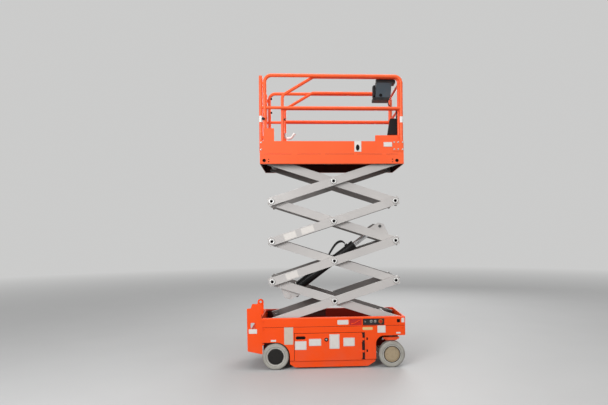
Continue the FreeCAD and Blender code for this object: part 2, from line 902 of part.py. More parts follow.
back = span(("step_front - step_sheet", "step_front"), ("-half_width + step_plate", "half_width - step_plate"),
            ("step_first - step_sheet", "step_first + 2 * step_pitch"))
lug_low = "step_first + 2 * step_pitch - step_sheet / 2"
lug_plate = slab((
    ("lug_x - lug_foot", lug_low),
    ("lug_x + lug_r", lug_low),
    ("lug_x + lug_r", "lug_z + lug_r", "lug_r - 0.5"),
    ("lug_x - lug_r", "lug_z + lug_r", "lug_r - 0.5"),
    ("lug_x - lug_r", "lug_z - lug_r / 3"),
    ("lug_x - lug_foot", lug_low + " + lug_toe"),
), "-lug_thick / 2", "lug_thick")
lug_wide = "lug_thick + 2 * lug_pad"
lug_pads = cyl("lug_pad_r", lug_wide, ("lug_x", "-lug_thick / 2 - lug_pad", "lug_z"), "y")
lug_hole = cyl("lug_hole_r", lug_wide + " + 2 * hull_lap",
               ("lug_x", "-lug_thick / 2 - lug_pad - hull_lap", "lug_z"), "y")
lug = less(join(lug_plate, lug_pads), lug_hole)
node("step_sides", join(*both(step_side)))
node("step_treads", join(back, lug, *[tread(number) for number in range(3)]))


# Rear axle with a drive motor at each wheel
def drive(side):
    """Motor, gearbox flange and stub axle, turned about the axle line."""
    return turned((
        ("0", "motor_in_y"),
        ("motor_r - motor_step", "motor_in_y", "motor_nose"),
        ("motor_r - motor_step", "motor_out_y - gear_long - motor_step"),
        ("motor_r", "motor_out_y - gear_long"),
        ("motor_r", "motor_out_y - motor_step"),
        ("motor_r - 2 * motor_step", "motor_out_y"),
        ("axle_r", "motor_out_y"),
        ("axle_r", "axle_out_y"),
        ("0", "axle_out_y"),
    ), ("rear_axle_x", "0", "wheel_r"), "y", side)


beam_x = ("rear_axle_x - beam_half", "rear_axle_x + beam_half")
cross_beam = span(beam_x, ("-motor_in_y - beam_lap", "motor_in_y + beam_lap"),
                  ("wheel_r - beam_half", "wheel_r + beam_half"))
hangers = [span(beam_x, wall(side, "hanger_in", "hanger_in + hanger_thick"),
                ("wheel_r + beam_half - hull_lap", "well_floor - skin_thick")) for side in (-1, 1)]
node("rear_axle", join(cross_beam, *hangers, *both(drive)))


# Kingpin carriers under the front arches, steering knuckles, ram and track rod
def carrier(side):
    """Plate under the arch's ceiling with a blind bore for the kingpin."""
    y = wall(side, "spine_half", "king_y + carrier_boss_r")
    plate = span(("front_axle_x - carrier_half", "front_axle_x + carrier_half"), y,
                 ("front_arch_z - seat_gap - carrier_thick", "front_arch_z - seat_gap"))
    foot = ("front_axle_x", at_side(side, "king_y"), "front_arch_z - carrier_drop")
    boss = cyl("carrier_boss_r", "carrier_drop - seat_gap", foot)
    mouth = ("front_axle_x", at_side(side, "king_y"), "front_arch_z - carrier_drop - hull_lap")
    hole = cyl("king_r + run_fit", "carrier_drop - king_clear / 2", mouth)
    return less(join(plate, boss), hole)


node("front_axle", join(*both(carrier)))


def knuckle(side):
    """Fork over the wheel with its kingpin, inner cheek, spindle, skirt and steering arm."""
    plate = slab((
        ("front_axle_x + fork_front", at_side(side, "fork_in_y"), "fork_round"),
        ("front_axle_x + fork_front", at_side(side, "fork_out_y"), "fork_round"),
        ("front_axle_x - fork_rear", at_side(side, "fork_out_y"), "fork_round"),
        ("front_axle_x - fork_rear", at_side(side, "steer_in_y - tie_end_r"), "fork_round"),
        ("steer_x + tie_end_r", at_side(side, "steer_in_y - tie_end_r"), "fork_round"),
        ("steer_x + tie_end_r + fork_round", at_side(side, "fork_in_y")),
    ), "fork_z", "fork_thick", "xy")
    y = wall(side, "cheek_y - cheek_thick", "cheek_y")
    cheek = slab((
        ("front_axle_x - cheek_half", "wheel_r - cheek_drop", "cheek_half - 1"),
        ("front_axle_x + cheek_half", "wheel_r - cheek_drop", "cheek_half - 1"),
        ("front_axle_x + cheek_half", "fork_z + hull_lap"),
        ("front_axle_x - cheek_half", "fork_z + hull_lap"),
    ), y[0], "cheek_thick")
    y = wall(side, "fork_out_y - skirt_thick", "fork_out_y")
    skirt = slab((
        ("front_axle_x - fork_rear + fork_round", "fork_z + hull_lap"),
        ("front_axle_x - fork_rear + skirt_slope", "fork_z - skirt_drop"),
        ("front_axle_x + fork_front - skirt_slope", "fork_z - skirt_drop"),
        ("front_axle_x + fork_front - fork_round", "fork_z + hull_lap"),
    ), y[0], "skirt_thick")
    spindle = turned((
        ("0", "cheek_y - hull_lap"),
        ("axle_r + cheek_thick", "cheek_y - hull_lap"),
        ("axle_r + cheek_thick", "cheek_y + dish_deep"),
        ("axle_r", "cheek_y + dish_deep"),
        ("axle_r", "axle_out_y"),
        ("0", "axle_out_y"),
    ), ("front_axle_x", "0", "wheel_r"), "y", side)
    king = cyl("king_r", "front_arch_gap - king_clear + hull_lap",
               ("front_axle_x", at_side(side, "king_y"), "fork_z + fork_thick - hull_lap"))
    return join(plate, cheek, skirt, spindle, king)


node("knuckle_left", knuckle(-1))
node("knuckle_right", knuckle(1))
ram = cyl("ram_r", "2 * ram_half", ("steer_x", "-ram_half", "steer_z"), "y")
ram_saddle = span(("steer_x - ram_r", "steer_x + ram_r"), ("-ram_half + ram_saddle_in", "ram_half - ram_saddle_in"),
                  ("steer_z", "front_arch_z - seat_gap"))
ram_bore = cyl("tie_r + run_fit", "2 * ram_half + 2 * hull_lap", ("steer_x", "-ram_half - hull_lap", "steer_z"), "y")
node("steering_cylinder", less(join(ram, ram_saddle), ram_bore))
tie = cyl("tie_r", "2 * steer_in_y", ("steer_x", "-steer_in_y", "steer_z"), "y")
tie_ends = [cyl("tie_end_r", "tie_end_high",
                ("steer_x", at_side(side, "steer_in_y"), "steer_z - tie_end_high / 2")) for side in (-1, 1)]
node("steering_rod", join(tie, *tie_ends))

# Wheels: pale solid tyres on turned hubs, each outline a radius and a distance out from the tyre's back
TYRE = (
    ("rim_r", "bead_deep"),
    ("rim_r + bead_wide", "bead_deep"),
    ("rim_r + bead_wide + bead_deep", "0"),
    ("wheel_r", "0", "tyre_round"),
    ("wheel_r", "tyre_wide", "tyre_round"),
    ("rim_r + bead_wide + bead_deep", "tyre_wide"),
    ("rim_r + bead_wide", "tyre_wide - bead_deep"),
    ("rim_r", "tyre_wide - bead_deep"),
)
HUB_BACK = (
    ("0", "rim_inset + bore_deep"),
    ("axle_r + run_fit", "rim_inset + bore_deep"),
    ("axle_r + run_fit", "rim_inset"),
    ("rim_r - seat_gap", "rim_inset"),
    ("rim_r - seat_gap", "tyre_wide - rim_inset"),
)
DRIVEN_FACE = (
    ("cap_r + cap_lip", "tyre_wide - rim_inset"),
    ("cap_r + cap_lip", "tyre_wide - rim_inset - dish_deep / 2"),
    ("cap_r", "tyre_wide - rim_inset - dish_deep / 2"),
    ("cap_r", "tyre_wide - rim_inset / 2", "cap_lip"),
    ("0", "tyre_wide - rim_inset / 2"),
)
STEERED_FACE = (
    ("rim_r - rim_inset", "tyre_wide - rim_inset"),
    ("rim_r - dish_deep", "tyre_wide - rim_inset - dish_deep"),
    ("disc_r + cap_lip", "tyre_wide - rim_inset - dish_deep"),
    ("disc_r", "tyre_wide - rim_inset - dish_deep / 2"),
    ("0", "tyre_wide - rim_inset - dish_deep / 2"),
)
for name, x, side, face in (("rear_left", "rear_axle_x", -1, DRIVEN_FACE),
                            ("rear_right", "rear_axle_x", 1, DRIVEN_FACE),
                            ("front_left", "front_axle_x", -1, STEERED_FACE),
                            ("front_right", "front_axle_x", 1, STEERED_FACE)):
    at = (x, at_side(side, "tyre_y"), "wheel_r")
    node("tyre_" + name, turned(TYRE, at, "y", side))
    node("hub_" + name, turned(HUB_BACK + face, at, "y", side))

# Doors with their swing-out battery trays, and the guards that fold under the chassis
for name, side in (("near", -1), ("far", 1)):
    y = wall(side, "half_width - door_thick", "half_width")
    skin = slab((
        ("door_rear + door_gap", "door_low", "door_round"),
        ("door_front - door_gap", "door_low", "door_round"),
        ("door_front - door_gap", "door_high - door_gap", "door_round"),
        ("door_rear + door_gap", "door_high - door_gap", "door_round"),
    ), y[0], "door_thick")
    pull = slab((
        ("pull_rear", "pull_low", "pull_round"),
        ("pull_front", "pull_low", "pull_round"),
        ("pull_front", "pull_top", "pull_round"),
        ("pull_rear", "pull_top", "pull_round"),
    ), "(%s) - hull_lap" % y[0], "door_thick + 2 * hull_lap")
    lock = turned((
        ("0", "half_width - hull_lap"),
        ("lock_r", "half_width - hull_lap"),
        ("lock_r", "half_width + lock_out"),
        ("0", "half_width + lock_out"),
    ), ("lock_x", "0", "lock_z"), "y", side)
    y_tray = wall(side, "tray_in_y", "half_width - door_thick + hull_lap")
    tray = span(("tray_rear", "tray_front"), y_tray, ("tray_low", "tray_low + tray_high"))
    y_in = wall(side, "tray_in_y + tray_wall", "half_width - door_thick - tray_wall")
    room = span(("tray_rear + tray_wall", "tray_front - tray_wall"), y_in,
                ("tray_low + tray_wall", "tray_low + tray_high + cut_over"))
    hinge_at = ("hinge_x", at_side(side, "hinge_y"))
    leaves = []
    for low in ("door_low + hinge_inset", "door_high - hinge_inset - hinge_third"):
        leaves.append(span(("door_front - door_gap - leaf_wide", "hinge_x"),
                           wall(side, "half_width - hull_lap", "half_width + leaf_thick"),
                           (low, low + " + hinge_third")))
        leaves.append(cyl("hinge_r", "hinge_third", hinge_at + (low,)))
    relief = span(("door_front - door_gap", "hinge_x + hinge_r"),
                  wall(side, "half_width - 2 * hull_lap", "half_width + leaf_relief"), ("0", "door_high"))
    rod = cyl("hinge_pin_r", "door_high - door_low - 2 * hinge_inset", hinge_at + ("door_low + hinge_inset",))
    node(name + "_door", join(less(skin, pull), lock, less(tray, room), less(join(*leaves), relief), rod))
    y_bat = wall(side, "tray_in_y + 2 * tray_wall", "half_width - door_thick - 2 * tray_wall")
    node(name + "_batteries", span(("tray_rear + 2 * tray_wall", "tray_front - 2 * tray_wall"), y_bat,
                                   ("tray_low + tray_wall", "door_high - battery_gap")))
    y = wall(side, "guard_y - guard_thick / 2", "guard_y + guard_thick / 2")
    flap = slab((
        ("guard_rear", "guard_z"),
        ("guard_rear", "guard_low + guard_heel"),
        ("guard_rear + guard_toe_rear", "guard_low", "edge_r"),
        ("guard_front - guard_toe_front", "guard_low", "edge_r"),
        ("guard_front", "guard_low + guard_nose", "edge_r"),
        ("guard_front", "guard_z"),
    ), y[0], "guard_thick")
    bar = cyl("guard_tube_r", "guard_front - guard_rear",
              ("guard_rear", at_side(side, "guard_y"), "guard_z"), "x")
    node(name + "_guard", join(flap, bar))

# Scissor arms, each pair drawn flat along X from its lower pin and then placed and tilted
PIN_AT = ("0", "arm_length / 2", "arm_length")


def box_arm(side, face):
    """One box-section arm, open at its ends, with a round boss at each pin."""
    y = wall(side, face + " - arm_thick", face)
    outer = span(("-arm_over", "arm_length + arm_over"), y, ("-arm_high / 2", "arm_high / 2"))
    y_in = wall(side, face + " - arm_thick + arm_wall", face + " - arm_wall")
    room = span(("-arm_over - hull_lap", "arm_length + arm_over + hull_lap"), y_in,
                ("-arm_high / 2 + arm_wall", "arm_high / 2 - arm_wall"))
    bosses = [cyl("boss_r", "arm_thick", (x, y[0], "0"), "y") for x in PIN_AT]
    return join(less(outer, room), *bosses)


def pin(side, x):
    """Stub pin of an outer arm: shank, collar between the arms, and a head with a socket."""
    return turned((
        ("0", "inner_back + pin_short"),
        ("pin_r", "inner_back + pin_short"),
        ("pin_r", "inner_face + seat_gap"),
        ("collar_r", "inner_face + seat_gap"),
        ("collar_r", "outer_face - hull_lap"),
        ("head_r", "outer_face - hull_lap"),
        ("head_r", "head_face"),
        ("socket_r", "head_face"),
        ("socket_r", "head_face - socket_deep"),
        ("0", "head_face - socket_deep"),
    ), (x, "0", "0"), "y", side)


def outer_pair():
    """Outer arms with the stub pins that run into the inner arms."""
    halves = [join(box_arm(side, "outer_face"), *[pin(side, x) for x in PIN_AT]) for side in (-1, 1)]
    return join(*halves)


def inner_pair(low_tie, rollers):
    """Inner arms, bored for the pins and tied by two cross tubes; the top pair carries roller stubs."""
    arms = []
    for side in (-1, 1):
        y = wall(side, "inner_back - hull_lap", "inner_face + hull_lap")
        bored = PIN_AT[:2] if rollers else PIN_AT
        bores = [cyl("pin_r + run_fit", "arm_thick + 2 * hull_lap", (x, y[0], "0"), "y") for x in bored]
        arms.append(less(box_arm(side, "inner_face"), *bores))
        if rollers:
            stub = wall(side, "inner_face - hull_lap", "well_half - rail_web - roller_edge")
            arms.append(cyl("pin_r", "well_half - rail_web - roller_edge - inner_face + hull_lap",
                            ("arm_length", stub[0], "0"), "y"))
    ties = [cyl("cross_r", "2 * (inner_back + hull_lap)", (x, "-(inner_back + hull_lap)", "0"), "y")
            for x in (low_tie, "arm_length")]
    return join(*arms, *ties)


def gusset(side, u, n, sense, gap="0"):
    """Plate beside the inner face of an inner arm, round a pin of the lift cylinder."""
    y = wall(side, "inner_back - gusset_thick - " + gap, "inner_back - " + gap)
    grip = "%d * (arm_high / 2 - gusset_grip)" % sense
    foot = "%s + %d * gusset_foot" % (n, sense)
    return slab((
        (u + " - gusset_rear", grip),
        (u + " - gusset_foot", foot, "gusset_round"),
        (u + " + gusset_foot", foot, "gusset_round"),
        (u + " + gusset_front", grip),
    ), y[0], "gusset_thick")


def filler(side, u, n, sense):
    """Strip between an arm and its gusset, which keeps the gusset clear of the arm that folds beside it."""
    y = wall(side, "inner_back - filler_thick", "inner_back")
    edge = ("%d * (arm_high / 2 - gusset_grip)" % sense, "%d * arm_high / 2" % sense)
    return span((u + " - gusset_foot", u + " + gusset_foot"), y, edge if sense > 0 else edge[::-1])


def mount_pads(u, n):
    """Round pads on the outer faces of a pair of gussets."""
    pads = []
    for side in (-1, 1):
        y = wall(side, "inner_back - hull_lap", "inner_back + side_slack")
        pads.append(cyl("mount_boss_r", "side_slack + hull_lap", (u, y[0], n), "y"))
    return pads


def lower_mount():
    """Gussets under the lowest inner arms with the cylinder's long pin and the hanging prop."""
    plates = [gusset(side, "cyl_low_u", "cyl_low_n", -1) for side in (-1, 1)]
    long_pin = cyl("cyl_pin_r", "2 * (inner_back + side_slack)",
                   ("cyl_low_u", "-(inner_back + side_slack)", "cyl_low_n"), "y")
    y = wall(-1, "inner_back - 2 * gusset_thick", "inner_back - gusset_thick + hull_lap")
    prop = slab((
        ("cyl_low_u - prop_near", "cyl_low_n + gusset_foot / 2"),
        ("cyl_low_u - prop_near + step_round", "prop_n", "edge_r"),
        ("cyl_low_u - prop_far - step_round", "prop_n", "edge_r"),
        ("cyl_low_u - prop_far", "cyl_low_n + gusset_foot / 2"),
    ), y[0], "gusset_thick + hull_lap")
    return join(long_pin, prop, *plates, *mount_pads("cyl_low_u", "cyl_low_n"))


def upper_mount():
    """Gussets on the third inner arms beside the eye of the lift cylinder's rod."""
    make = [gusset(side, "cyl_high_u", "cyl_high_n", 1, "filler_thick") for side in (-1, 1)]
    return join(*make, *[filler(side, "cyl_high_u", "cyl_high_n", 1) for side in (-1, 1)])


# Outer arms climb to the front from the rear pins and inner arms climb to the rear from the
# front pins. An inner pair is drawn along +X too and turned past upright, so its mount is flipped.
for stage in (1, 2, 3, 4):
    foot_z = "pin_base_z + %d * stage_rise" % (stage - 1)
    node("outer_arms_%d" % stage, outer_pair(), ("pin_rear_x", "0", foot_z), "-arm_angle")
    pair = inner_pair("first_tie" if stage == 1 else "0", stage == 4)
    if stage in (1, 3):
        mount = lower_mount() if stage == 1 else upper_mount()
        mount.Placement = FreeCAD.Placement(
            FreeCAD.Vector(), FreeCAD.Rotation(FreeCAD.Vector(1, 0, 0), 180))
        pair = join(pair, mount)
    node("inner_arms_%d" % stage, pair, ("pin_front_x", "0", foot_z), "180 + arm_angle")


# Rollers of the lowest outer arms, in the chassis, and of the highest inner arms, in the platform
def base_roller(side):
    """Roller beside the head of an outer arm's lowest pin."""
    return turned((
        ("0", "head_face + seat_gap"),
        ("roller_r", "head_face + seat_gap"),
        ("roller_r", "well_half - rail_web - roller_edge", "roller_edge"),
        ("0", "well_half - rail_web - roller_edge"),
    ), ("pin_rear_x", "0", "pin_base_z"), "y", side)


def top_roller(side):
    """Roller on the stub of an inner arm."""
    return turned((
        ("pin_r + seat_gap", "head_face + roller_edge"),
        ("top_roller_r", "head_face + roller_edge", "roller_edge"),
        ("top_roller_r", "well_half - rail_web - roller_edge", "roller_edge"),
        ("pin_r + seat_gap", "well_half - rail_web - roller_edge"),
    ), ("pin_rear_x", "0", "top_pin_z"), "y", side)


node("base_rollers", join(*both(base_roller)))
node("top_rollers", join(*both(top_roller)))

# Lift cylinder, drawn along X from its lower pin and then placed and tilted
CYL_AT = (
    "pin_front_x - cyl_low_u * cos(arm_angle) + cyl_low_n * sin(arm_angle)",
    "0",
    "pin_base_z + cyl_low_u * sin(arm_angle) + cyl_low_n * cos(arm_angle)",
)
barrel = turned((
    ("rod_r + run_fit", "bore_start"),
    ("0", "bore_start"),
    ("0", "bore_start - barrel_cap"),
    ("barrel_r", "bore_start - barrel_cap", "edge_r"),
    ("barrel_r", "barrel_length - gland_long"),
    ("gland_r", "barrel_length - gland_long"),
    ("gland_r", "barrel_length"),
    ("rod_r + run_fit", "barrel_length"),
), ("0", "0", "0"), "x")
tail_eye = cyl("eye_r", "eye_wide", ("0", "-eye_wide / 2", "0"), "y")
neck = span(("0", "bore_start - barrel_cap / 2"), ("-rod_r", "rod_r"), ("-rod_r", "rod_r"))
ports = [span((x + " - port_half", x + " + port_half"), ("-port_wide / 2", "port_wide / 2"),
              ("barrel_r - 2 * edge_r", "port_high"))
         for x in ("bore_start + port_in", "port_x")]
tail_bore = cyl("cyl_pin_r + run_fit", "eye_wide + 2 * hull_lap", ("0", "-eye_wide / 2 - hull_lap", "0"), "y")
node("lift_barrel", less(join(barrel, tail_eye, neck, *ports), tail_bore), CYL_AT, "-cyl_angle")
rod = turned((
    ("0", "barrel_length - rod_inside"),
    ("rod_r", "barrel_length - rod_inside"),
    ("rod_r", "cyl_length - rod_neck"),
    ("rod_neck_r", "cyl_length - rod_neck + cap_lip"),
    ("rod_neck_r", "cyl_length - eye_r / 2"),
    ("0", "cyl_length - eye_r / 2"),
), ("0", "0", "0"), "x")
eye = cyl("eye_r", "eye_wide", ("cyl_length", "-eye_wide / 2", "0"), "y")
slug = cyl("cyl_pin_r", "2 * (inner_back - gusset_thick - filler_thick - side_slack)",
           ("cyl_length", "-(inner_back - gusset_thick - filler_thick - side_slack)", "0"), "y")
node("lift_rod", join(rod, eye, slug), CYL_AT, "-cyl_angle")


def hose(side, y="hose_y", nest="0"):
    """Hose that loops back out of the upper port block and lies along the barrel to the lower one."""
    low = "sqrt((barrel_r + seat_gap + hose_r) ^ 2 - %s ^ 2)" % y
    return tube((
        ("port_x", "port_high + seat_gap"),
        ("port_x + hose_lean", "port_high + hose_leave - " + nest, "hose_bend"),
        ("port_x - hose_turn_in", "port_high + hose_turn_up - 1.3 * " + nest, "hose_bend"),
        ("port_x - hose_crest_in", "port_high + hose_crest_up - 1.3 * " + nest, "hose_bend"),
        ("port_x - hose_fall_in", "port_high + hose_fall_up - " + nest, "hose_bend"),
        ("port_x - hose_meet_in", low + " + hose_meet_over", "hose_bend"),
        ("port_x - hose_rest_in", low, "hose_bend"),
        ("bore_start + port_in + port_half + 2 * seat_gap", low),
    ), "hose_r", at_side(side, y), "xz", "z")


def outer_hose(side):
    """Hose of the outer pair, which loops lower and lies on the flank of the barrel."""
    return hose(side, "hose_pair_y", "hose_nest")


node("lift_hoses", join(*both(hose), *both(outer_hose)), CYL_AT, "-cyl_angle")


# Platform: folded side panels, floor on cross ribs, and end plates
def deck_panel(side):
    """Side panel with its lower lip, the crease at the floor, a raised tab and its holes."""
    out, step = "deck_half", "deck_half - crease_step"
    section = (
        (out + " - lip_wide", "deck_low"),
        (out, "deck_low", "panel_thick + 2"),
        (out, "deck_floor - crease_step"),
        (step, "deck_floor"),
        (step, "toe_top"),
        (step + " - panel_thick", "toe_top"),
        (step + " - panel_thick", "deck_floor"),
        (out + " - panel_thick", "deck_floor - crease_step"),
        (out + " - panel_thick", "deck_low + panel_thick", "2"),
        (out + " - lip_wide", "deck_low + panel_thick"),
    )
    folded = slab([(at_side(side, p[0]),) + p[1:] for p in section],
                  "deck_rear", "deck_front - deck_rear", "yz")
    y = wall(side, "deck_half - crease_step - panel_thick", "deck_half - crease_step")
    tab = slab((
        ("tab_rear", "toe_top - hull_lap"),
        ("tab_rear + tab_long", "toe_top - hull_lap"),
        ("tab_rear + tab_long", "deck_floor + tab_high", "tab_round"),
        ("tab_rear", "deck_floor + tab_high", "tab_round"),
    ), y[0], "panel_thick")
    y = wall(side, "deck_half - panel_thick - hull_lap", "deck_half + hull_lap")
    deep = "panel_thick + 2 * hull_lap"
    holes = [cyl("port_hole_r", deep, (x, y[0], "port_z"), "y") for x in ("port_rear_x", "port_front_x")]
    for x in ("port_rear_x + bolt_hole_x", "port_front_x - bolt_hole_x"):
        for z in ("port_z - bolt_hole_z", "port_z + bolt_hole_z"):
            holes.append(cyl("bolt_hole_r", deep, (x, y[0], z), "y"))
    return less(join(folded, tab), *holes)


floor = span(("deck_rear", "deck_front"), ("-deck_half + panel_thick", "deck_half - panel_thick"),
             ("floor_under", "deck_floor"))
ends = [span(x, ("-deck_half + hull_lap", "deck_half - hull_lap"), ("deck_low", "deck_floor - hull_lap"))
        for x in (("deck_rear", "deck_rear + panel_thick"), ("deck_front - panel_thick", "deck_front"))]
ribs = [span(("deck_rear + rib_in + %d * rib_pitch" % i, "deck_rear + rib_in + %d * rib_pitch + rib_thick" % i),
             ("-inner_back + rib_short", "inner_back - rib_short"),
             ("deck_floor - rib_drop", "floor_under + hull_lap"))
        for i in range(RIBS)]
node("platform_deck", join(floor, *ends, *ribs, *both(deck_panel)))


def deck_track(side):
    """Channel under the floor that guides a top roller."""
    out, back = at_side(side, "well_half"), at_side(side, "well_half - rail_web")
    mouth = at_side(side, "head_face + roller_edge")
    low, high = "top_pin_z - top_roller_r - seat_gap", "top_pin_z + top_roller_r + seat_gap"
    return slab((
        (out, low + " - rail_flange"),
        (mouth, low + " - rail_flange"),
        (mouth, low),
        (back, low),
        (back, high),
        (mouth, high),
        (mouth, high + " + rail_flange"),
        (back, high + " + rail_flange"),
        (back, "floor_under"),
        (out, "floor_under"),
    ), "deck_rear + panel_thick", "rail_front - deck_rear - panel_thick", "yz")


def deck_cheek(side):
    """Cheek under the floor beside the head of a fixed pin of the highest arms."""
    y = wall(side, "head_face + seat_gap", "head_face + seat_gap + cheek_plate")
    return slab((
        ("pin_front_x - cheek_wide", "floor_under"),
        ("pin_front_x - cheek_wide", "top_pin_z - cheek_over", "cheek_over / 2"),
        ("pin_front_x + cheek_wide", "top_pin_z - cheek_over", "cheek_over / 2"),
        ("pin_front_x + cheek_wide", "floor_under"),
    ), y[0], "cheek_plate")


node("deck_tracks", join(*both(deck_track), *both(deck_cheek)))


# Rails: a bow each side, a rear post clipped to it, and the mid rail
def side_rail(side):
    """Bow, rear post, mid rail and the clips between bow and post."""
    y = at_side(side, "rail_y")
    bow = tube((
        ("bow_rear", "post_foot"),
        ("bow_rear", "rail_top", "bend_r"),
        ("post_front", "rail_top", "bend_r"),
        ("post_front", "post_foot"),
    ), "rail_r", y)
    post = cyl("rail_r", "post_top - post_foot", ("post_rear", y, "post_foot"))
    mid = cyl("mid_r", "post_front - post_rear", ("post_rear", y, "rail_mid"), "x")
    y = wall(side, "rail_y - clip_half", "rail_y + clip_half")
    clips = [span(("post_rear", "bow_rear"), y, (z, z + " + clip_high"))
             for z in ("rail_top - clip_drop", "toe_top + clip_rise")]
    return join(bow, post, mid, *clips)


node("platform_rails", join(*both(side_rail)))


def entry_side(side):
    """Fixed end rails between a corner post and a gate post."""
    y = wall(side, "gate_post_y", "rail_y - rail_r - seat_gap")
    bars = [cyl("end_bar_r", "rail_y - rail_r - seat_gap - gate_post_y", ("post_rear", y[0], z), "y")
            for z in ("gate_top", "rail_mid - gate_drop", "toe_top + gate_drop")]
    post = cyl("gate_post_r", "post_top - deck_floor", ("post_rear", at_side(side, "gate_post_y"), "deck_floor"))
    return join(post, *bars)


node("entry_frame", join(*both(entry_side)))

# Gate, hung by sleeves on the far post
hoop = tube((
    ("-gate_half", "gate_low"),
    ("-gate_half", "gate_top", "gate_bend"),
    ("gate_half", "gate_top", "gate_bend"),
    ("gate_half", "gate_low"),
), "gate_r", "post_rear", "yz")
gate_bars = [cyl(radius, "2 * gate_half", ("post_rear", "-gate_half", z), "y")
             for radius, z in (("gate_r - hull_lap", "rail_mid"), ("gate_r + hull_lap", "gate_low"))]
kick = span(("post_rear - kick_thick / 2", "post_rear + kick_thick / 2"), ("-gate_half", "gate_half"),
            ("ext_floor + gate_lift", "gate_low"))
sleeves = []
for z in ("gate_top - gate_bend - 2 * sleeve_high", "toe_top + 2 * gate_drop"):
    ring = cyl("gate_post_r + sleeve_wall", "sleeve_high", ("post_rear", "gate_post_y", z))
    link = span(("post_rear - kick_thick", "post_rear + kick_thick"), ("gate_half", "gate_post_y"),
                (z, "%s + sleeve_high" % z))
    hole = cyl("gate_post_r + run_fit", "sleeve_high + 2 * hull_lap", ("post_rear", "gate_post_y", z + " - hull_lap"))
    sleeves.append(less(join(ring, link), hole))
node("entry_gate", join(hoop, kick, *gate_bars, *sleeves))


# Sliding extension: a tray that rests on the floor, with its own rails
def ext_panel(side):
    """Side panel, higher at its front end."""
    y = wall(side, "ext_half - panel_thick", "ext_half")
    return slab((
        ("ext_rear", "ext_floor"),
        ("ext_front", "ext_floor"),
        ("ext_front", "deck_floor + ext_panel_high - ext_panel_step"),
        ("ext_front - ext_panel_lean", "deck_floor + ext_panel_high", "edge_r"),
        ("ext_front - ext_panel_long", "deck_floor + ext_panel_high", "edge_r"),
        ("ext_front - ext_panel_long", "deck_floor + ext_toe_high"),
        ("ext_rear", "deck_floor + ext_toe_high", "edge_r"),
    ), y[0], "panel_thick")


sheet = span(("ext_rear", "ext_front"), ("-ext_half + hull_lap", "ext_half - hull_lap"), ("ext_floor", "ext_top"))
nose_plate = span(("ext_front - nose_board", "ext_front"), ("-ext_half + hull_lap", "ext_half - hull_lap"),
                  ("ext_floor", "toe_top"))
node("extension_deck", join(sheet, nose_plate, *both(ext_panel)))


def ext_side(side):
    """Bow with a sloping rear corner, and its mid rail."""
    y = at_side(side, "ext_rail_y")
    bow = tube((
        ("ext_post_rear", "ext_top"),
        ("ext_post_rear", "rail_top - ext_diag_drop", "ext_bend"),
        ("ext_post_rear + ext_diag_run", "rail_top", "ext_bend"),
        ("ext_post_front", "rail_top", "ext_bend"),
        ("ext_post_front", "ext_top"),
    ), "ext_rail_r", y)
    mid = cyl("ext_rail_r - 2", "ext_post_front - ext_post_rear", ("ext_post_rear", y, "rail_mid"), "x")
    return join(bow, mid)


front_bars = [cyl("ext_rail_r - 2", "2 * ext_rail_y", ("ext_post_front", "-ext_rail_y", z), "y")
              for z in ("rail_top - ext_bend - ext_rail_r", "rail_mid")]
node("extension_rails", join(*both(ext_side), *front_bars))

# Handle that slides the extension
handle_post = cyl("handle_r", "handle_z - ext_top - seat_gap", ("handle_x", "-handle_y", "ext_top + seat_gap"))
handle_bar = tube((
    ("handle_x - handle_run / 2", "handle_z + handle_rise"),
    ("handle_x - handle_run / 2", "handle_z", "edge_r"),
    ("handle_x + handle_run", "handle_z", "step_round"),
    ("handle_x + 2 * handle_run", "handle_z + handle_rise"),
), "handle_r", "-handle_y")
node("extension_handle", join(handle_post, handle_bar))

# Controls on the near rail of the extension
box_body = slab((
    ("box_rear", "box_low", "box_round"),
    ("box_front - box_lean", "box_low", "box_round"),
    ("box_front", "box_top"),
    ("box_rear + box_lean", "box_top"),
), "-box_out_y", "box_deep")
lid = slab((
    ("lid_rear", "box_top - hull_lap"),
    ("lid_rear + lid_long", "box_top - hull_lap"),
    ("lid_rear + lid_long", "box_top + lid_thick", "box_round"),
    ("lid_rear", "box_top + lid_thick", "box_round"),
), "-box_out_y", "box_deep")
base = slab((
    ("base_rear", "base_low", "box_round"),
    ("box_front - base_step", "base_low", "box_round"),
    ("box_front - base_step", "box_low + hull_lap"),
    ("base_rear", "box_low + hull_lap"),
), "-box_out_y", "box_deep + base_lip")
hook = slab((
    ("-box_out_y", "box_top"),
    ("-box_out_y", "hook_z"),
    ("-ext_rail_y", "hook_z"),
    ("-ext_rail_y", "hook_z + hook_thick"),
    ("-box_out_y + hook_thick", "hook_z + hook_thick"),
    ("-box_out_y + hook_thick", "box_top"),
), "box_rear + hook_in", "hook_wide", "yz")
stick = turned((
    ("0", "-hull_lap"),
    ("stick_r", "-hull_lap"),
    ("stick_neck_r", "boot_high"),
    ("stick_neck_r", "stick_high - grip_high"),
    ("stick_r - hull_lap", "stick_high - grip_high + cap_lip"),
    ("stick_r - hull_lap", "stick_high", "stick_neck_r"),
    ("0", "stick_high"),
), ("base_rear + stick_in", "-box_out_y + box_deep / 2", "box_low"), "z")
node("control_box", join(box_body, lid, base, hook, stick))
node("document_box", slab((
    ("folder_rear", "folder_low", "box_round"),
    ("ext_post_front - 2", "folder_low"),
    ("ext_post_front - 2", "folder_top"),
    ("folder_rear + folder_lean", "folder_top", "box_round"),
), "-box_out_y", "folder_deep"))

DOC.recompute()
os.makedirs("parts", exist_ok=True)
bad = [obj.Name for obj in DOC.Objects if "Invalid" in obj.State or "Error" in obj.State]
bad += [obj.Label for obj in NODES if obj.Shape.isNull() or not obj.Shape.isValid()]
if bad:
    raise RuntimeError("not sound: " + ", ".join(bad))
for obj in NODES:
    obj.Shape.exportStep("parts/%s.step" % obj.Label)
    print(obj.Label, len(obj.Shape.Solids), round(obj.Shape.Volume / 1e6, 2))
